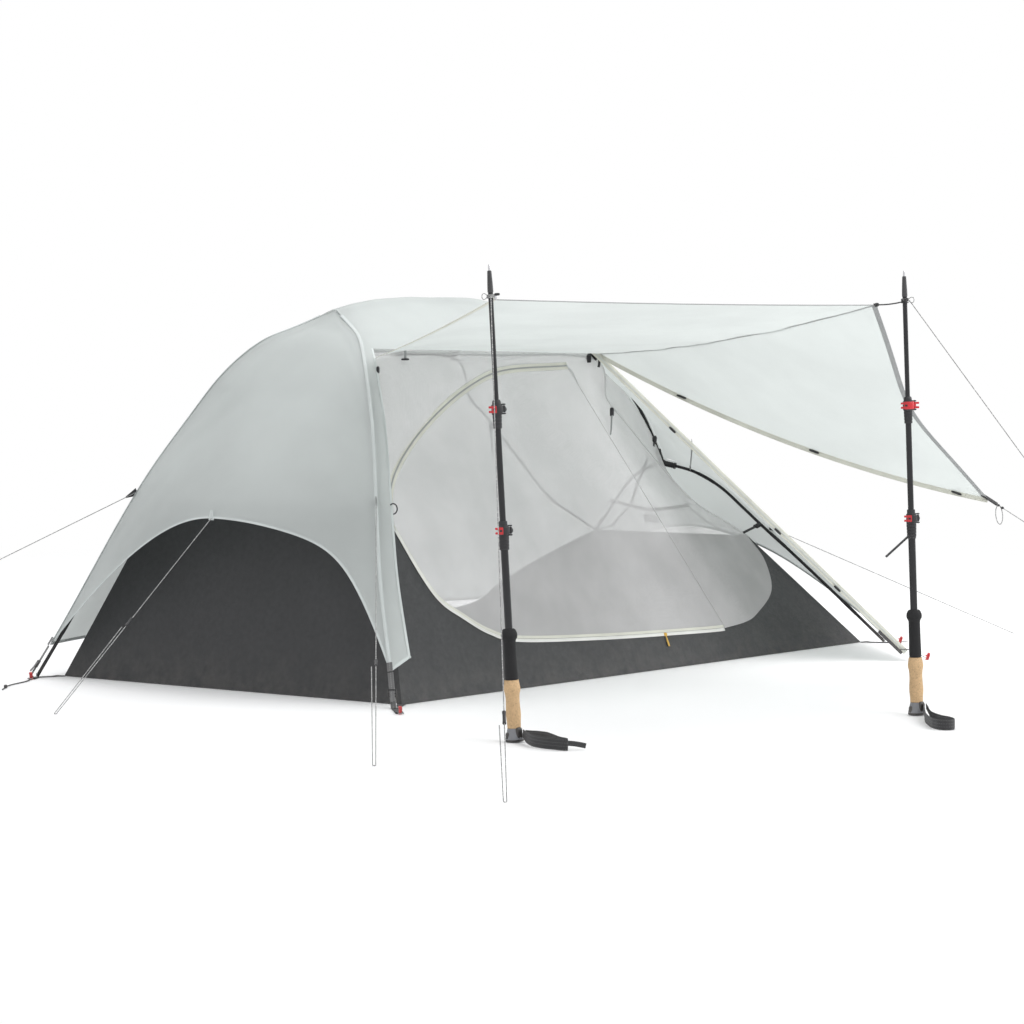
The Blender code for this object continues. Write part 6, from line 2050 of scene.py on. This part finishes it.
class TENT_OT_fittings(bpy.types.Operator):
    """Clips, toggles, tabs and the slider"""

    bl_idname = "tent.fittings"
    bl_label = "Clips and toggles"

    def execute(self, context):
        self.clips()
        self.toggles()
        self.tip_webbing()
        self.tabs()
        self.slider()
        self.pocket()
        return {"FINISHED"}

    def clips(self):
        """Hooks over the poles, each with a short ribbon to the seam of the inner tent that it carries."""
        canopy = canopy_grid()
        along, across = (1, 0, 0), (0, 1, 0)
        last = RIDGE.at(0.951)
        spots = [
            (last + vec(-0.038, -0.03, 0.01), last + vec(-0.066, -0.044, -0.018), across),
            (RIDGE.at(0.25), canopy[14, 30], across),
            (RIDGE.at(0.62), canopy[46, 30], across),
        ]
        sides = [(side, Way(fine_line(shoulder_seam(side), 121))) for side in (FRONT, BACK)]
        spots += [(foot_leg(side).at(0.417), shoulder.at(0.985), along) for side, shoulder in sides]
        spots += [
            (head_leg(side).at(k), inner_leg(side).at(k), across) for side, _ in sides for k in (0.3, 0.55)
        ]
        spots += [(brow_way().at(0.5 + 0.455 * side), shoulder.at(0.475), along) for side, shoulder in sides]
        for k, (on, to, hint) in enumerate(spots, 1):
            way = unit(to - on)
            axes = basis(way, hint)
            body = on + way * 0.011
            parts = [
                pillow(body, axes, (0.0115, 0.0062, 0.0058), 0.45),
                pillow(body + way * 0.011, axes, (0.0035, 0.0085, 0.003), 0.4),
                ribbon(np.linspace(body + way * 0.012, to, 12), 0.01, 0.0012, axes[2], surface=1),
            ]
            piece(f"clip_{k}", parts, "plastic webbing", "tent")

    def toggles(self):
        """Toggles along the zip tapes, the tabs under the eave, and the ribbons inside that hold
        the rolled door."""
        half = sizes().toggle_length / 2
        eave = eave_brow(FRONT)
        corner = place(*WING_CORNER)
        edge = Way(awning_grids()[:, -1])
        bar = eave_head(FRONT) + (eave - eave_head(FRONT)) * 0.169
        strip = Way(strip_edge(81))
        parts = []
        for share in (0.229, 0.578, 0.926):
            spot = edge.at(share) + vec(-0.006, -0.004, -0.004)
            parts.append(pillow(spot, basis(place(*AWNING_TIP) - eave), (half, 0.003, 0.003), 0.5))
        for share in (0.25, 0.592, 0.785):
            spot = eave + (corner - eave) * share + vec(-0.016, 0.004, -0.006)
            parts.append(pillow(spot, basis(corner - eave), (half * 0.8, 0.0034, 0.0034), 0.5))
        tag = np.linspace(eave + (corner - eave) * 0.925, corner, 10) + vec(-0.022, 0.006, -0.008)
        parts.append(ribbon(tag, 0.01, 0.0016, vec(-0.6, -0.6, 0.5)))
        parts.append(pillow(bar - UP * 0.026, basis((0.6, -0.8, 0)), (0.0105, 0.0028, 0.0028), 0.5))
        parts.append(pillow(strip.at(0.909) + vec(-0.003, -0.004, 0), np.eye(3), (0.004, 0.003, 0.009), 0.5))
        a = np.linspace(-0.6 * math.pi, 0.75 * math.pi, 24)[:, None]
        ring = strip.at(0.443) + vec(-0.002, -0.004, 0) + vec(0.006, -0.008, 0) * np.cos(a) + UP * 0.013 * np.sin(a)
        parts.append(rod(ring, 0.0016, 12, (0.8, 0.6, 0)))
        piece("toggles", parts, "plastic")
        top = Way(fine_line(shoulder_seam(BACK), 121)).at(0.63) + vec(0, -0.006, -0.004)
        parts = []
        for spot, end in (
            (top - UP * 0.014, top + vec(-0.03, -0.028, -0.088)),
            (vec(0.198, -0.297, 0.694), vec(0.158, -0.322, 0.632)),
        ):
            parts.append(pillow(spot, np.eye(3), (0.004, 0.0055, 0.0125), 0.45))
            parts.append(
                ribbon(hanging(spot - UP * 0.004, end, 0.008), 0.007, 0.0014, vec(1, 0, 0.2), surface=1)
            )
        parts.append(pillow(vec(0.15, -0.252, 0.842), np.eye(3), (0.004, 0.0065, 0.0105), 0.4))
        s = column(20)
        bent = eave + vec(-0.004, 0.002, -0.002) + vec(0.004, 0, 0) * np.sin(3 * s) - UP * 0.036 * s
        parts.append(ribbon(bent, 0.007, 0.0014, vec(-0.8, -0.6, 0)))
        hang = bar + UP * 0.004 - UP * 0.03 * column(8)
        parts.append(ribbon(hang, 0.007, 0.0016, vec(-0.8, -0.6, 0), surface=1))
        tie = eave + (corner - eave) * 0.3
        low = foot_leg(FRONT).at(0.1) + vec(0, -0.004, 0)
        for line, width, thick, look, scale in (
            (hanging(tie, low, 0.004), 0.022, 0.0012, 1, np.linspace(1.0, 0.25, 24)),
            (hanging(low + (tie - low) * 0.12, low, 0.0), 0.008, 0.003, 0, None),
        ):
            parts.append(ribbon(line, width, thick, vec(-0.5, -0.8, 0.2), look, scale))
        piece("inner_ribbons", parts, "plastic binding")

    def tip_webbing(self):
        """The webbing at the awning's free corner, its knots and its hanging loop."""
        tip = place(*AWNING_TIP)
        out = unit(stake_point(6) - tip)
        side = unit(np.cross(out, UP))
        parts = [
            ribbon(np.linspace(tip - out * 0.02, tip + out * 0.03, 12), 0.013, 0.0034, vec(-0.4, -0.3, 0.8))
        ]
        for reach, lean in ((0.034, side * 0.36 + UP * 0.012), (0.046, side * -0.36 - UP * 0.004)):
            knot = tip + out * reach
            line = np.linspace(knot - lean * 0.02, knot + unit(lean) * 0.018, 12)
            parts.append(rod(line, 0.003, 12, out, np.linspace(1.2, 0.8, 12)))
        piece("awning_tip_webbing", parts, "webbing", "tent")
        a = column(49, 0.08, 1.92) * math.pi
        loop = tip + out * (0.036 + 0.011 * np.sin(a)) - UP * 0.024 * (1 - np.cos(a)) + side * 0.002
        small_cord("awning_tip_loop", loop, 0.0011, "cord")

    def tabs(self):
        """The guy lines' tabs on the leg seams, and the one at the middle of the head hem."""
        parts = []
        for cover, height, tab, stake in (
            (fly_head_leg(FRONT), LEG_TAB_HEIGHT, leg_tab(FRONT), 2),
            (fly_head_leg(BACK), LEG_TAB_HEIGHT, leg_tab(BACK), 4),
            (fly_foot_leg(FRONT), FOOT_TAB_HEIGHT, foot_tab(), 7),
        ):
            rise = unit(cover.at_height(height + 0.03) - cover.at_height(height))
            away = unit(stake_point(stake) - tab)
            line = tab + away * column(14, -0.004, 0.03)
            parts.append(ribbon(line, 0.022, 0.002, np.cross(away, rise), scale=np.linspace(1.0, 0.18, 14)))
        piece("guy_tabs", parts, "webbing")
        line = hem_top() + vec(0.0006, 0, 0) + column(10, -0.004, 0.022) * vec(0.05, 0, 1.0)
        piece(
            "hem_tab", [ribbon(line, 0.018, 0.0016, (-1, 0, 0), scale=np.linspace(1.0, 0.55, 10))], "fly_binding"
        )

    def slider(self):
        """The door zip's slider: a humped body with a bridge, and a cord pull below it."""
        start, end = sill_point(0.0), sill_point(1.0)
        spot = start + (end - start) * SLIDER_SHARE
        along = unit(end - start)
        base = spot * vec(1, 0, 0) + vec(0, -HALF_WIDTH, CLOTH + CONTACT_GAP)
        out = unit(np.cross(along, unit(spot - base)))
        up = np.cross(out, along)
        centre = spot + out * (CLOTH / 2 + CONTACT_GAP + 0.0022) - up * (0.005 + CONTACT_GAP)
        axes = np.stack([along, up, out])
        run = centre - up * column(14, 0.002, 0.034) + out * 0.0008
        wide = np.interp(np.linspace(0, 1, 14), [0, 0.3, 0.7, 1], [0.6, 0.8, 1.25, 1.1])
        parts = [
            pillow(centre, axes, (0.0065, 0.0052, 0.0021), 0.5),
            pillow(centre + out * 0.0022, axes, (0.0042, 0.0016, 0.0016), 0.6),
            ribbon(run, 0.0055, 0.0026, out, scale=wide),
        ]
        piece("door_zip_pull", parts, "yellow", "door_zip_slider", node="door_zip_slider")

    def pocket(self):
        """The pocket at the foot end: its sagging top edge, and netting down to the wall."""
        top = smooth(
            np.stack([place(1.952, 0.197, 0.409), place(1.964, 0.055, 0.385), place(1.955, -0.097, 0.402)])
        )
        low = np.linspace(place(1.992, 0.215, 0.316), place(1.992, -0.115, 0.316), len(top))
        middle = top[len(top) // 2]
        patch = np.linspace(middle + vec(0.002, 0, -0.016), middle + vec(0.008, 0, -0.04), 8)
        parts = [part(ruled(top, low, 9))]
        parts.append(ribbon(top, 0.011, 0.0016, vec(-0.9, 0, 0.4), surface=1))
        parts.append(ribbon(patch, 0.052, 0.0012, (-1, 0, 0.2), surface=2))
        made = piece("foot_pocket", parts, "netting webbing binding", "tent")


class TENT_PT_looks(bpy.types.Panel):
    """Buttons for every group of pieces, with their sizes and colours"""

    bl_idname = "TENT_PT_looks"
    bl_label = "Tent"
    bl_space_type = "VIEW_3D"
    bl_region_type = "UI"
    bl_category = "Tent"

    def draw(self, context):
        layout = self.layout
        for operator in OPERATORS:
            layout.operator(operator.bl_idname)
        for group in (context.scene.tent_sizes, context.scene.tent_colours):
            box = layout.box()
            for name in group.__annotations__:
                box.prop(group, name)


OPERATORS = (
    TENT_OT_stage,
    TENT_OT_cords,
    TENT_OT_flysheet,
    TENT_OT_inner,
    TENT_OT_poles,
    TENT_OT_straps,
    TENT_OT_frame,
    TENT_OT_seams,
    TENT_OT_fittings,
)
CLASSES = (TentColours, TentSizes, *OPERATORS, TENT_PT_looks)


def register():
    for item in CLASSES:
        bpy.utils.register_class(item)
    bpy.types.Scene.tent_colours = PointerProperty(type=TentColours)
    bpy.types.Scene.tent_sizes = PointerProperty(type=TentSizes)


def unregister():
    del bpy.types.Scene.tent_sizes
    del bpy.types.Scene.tent_colours
    for item in reversed(CLASSES):
        bpy.utils.unregister_class(item)


def main():
    register()
    for operator in OPERATORS:
        group, name = operator.bl_idname.split(".")
        result = getattr(getattr(bpy.ops, group), name)()
        if result != {"FINISHED"}:
            raise RuntimeError(f"{operator.bl_idname} didn't finish")


if __name__ == "__main__":
    main()
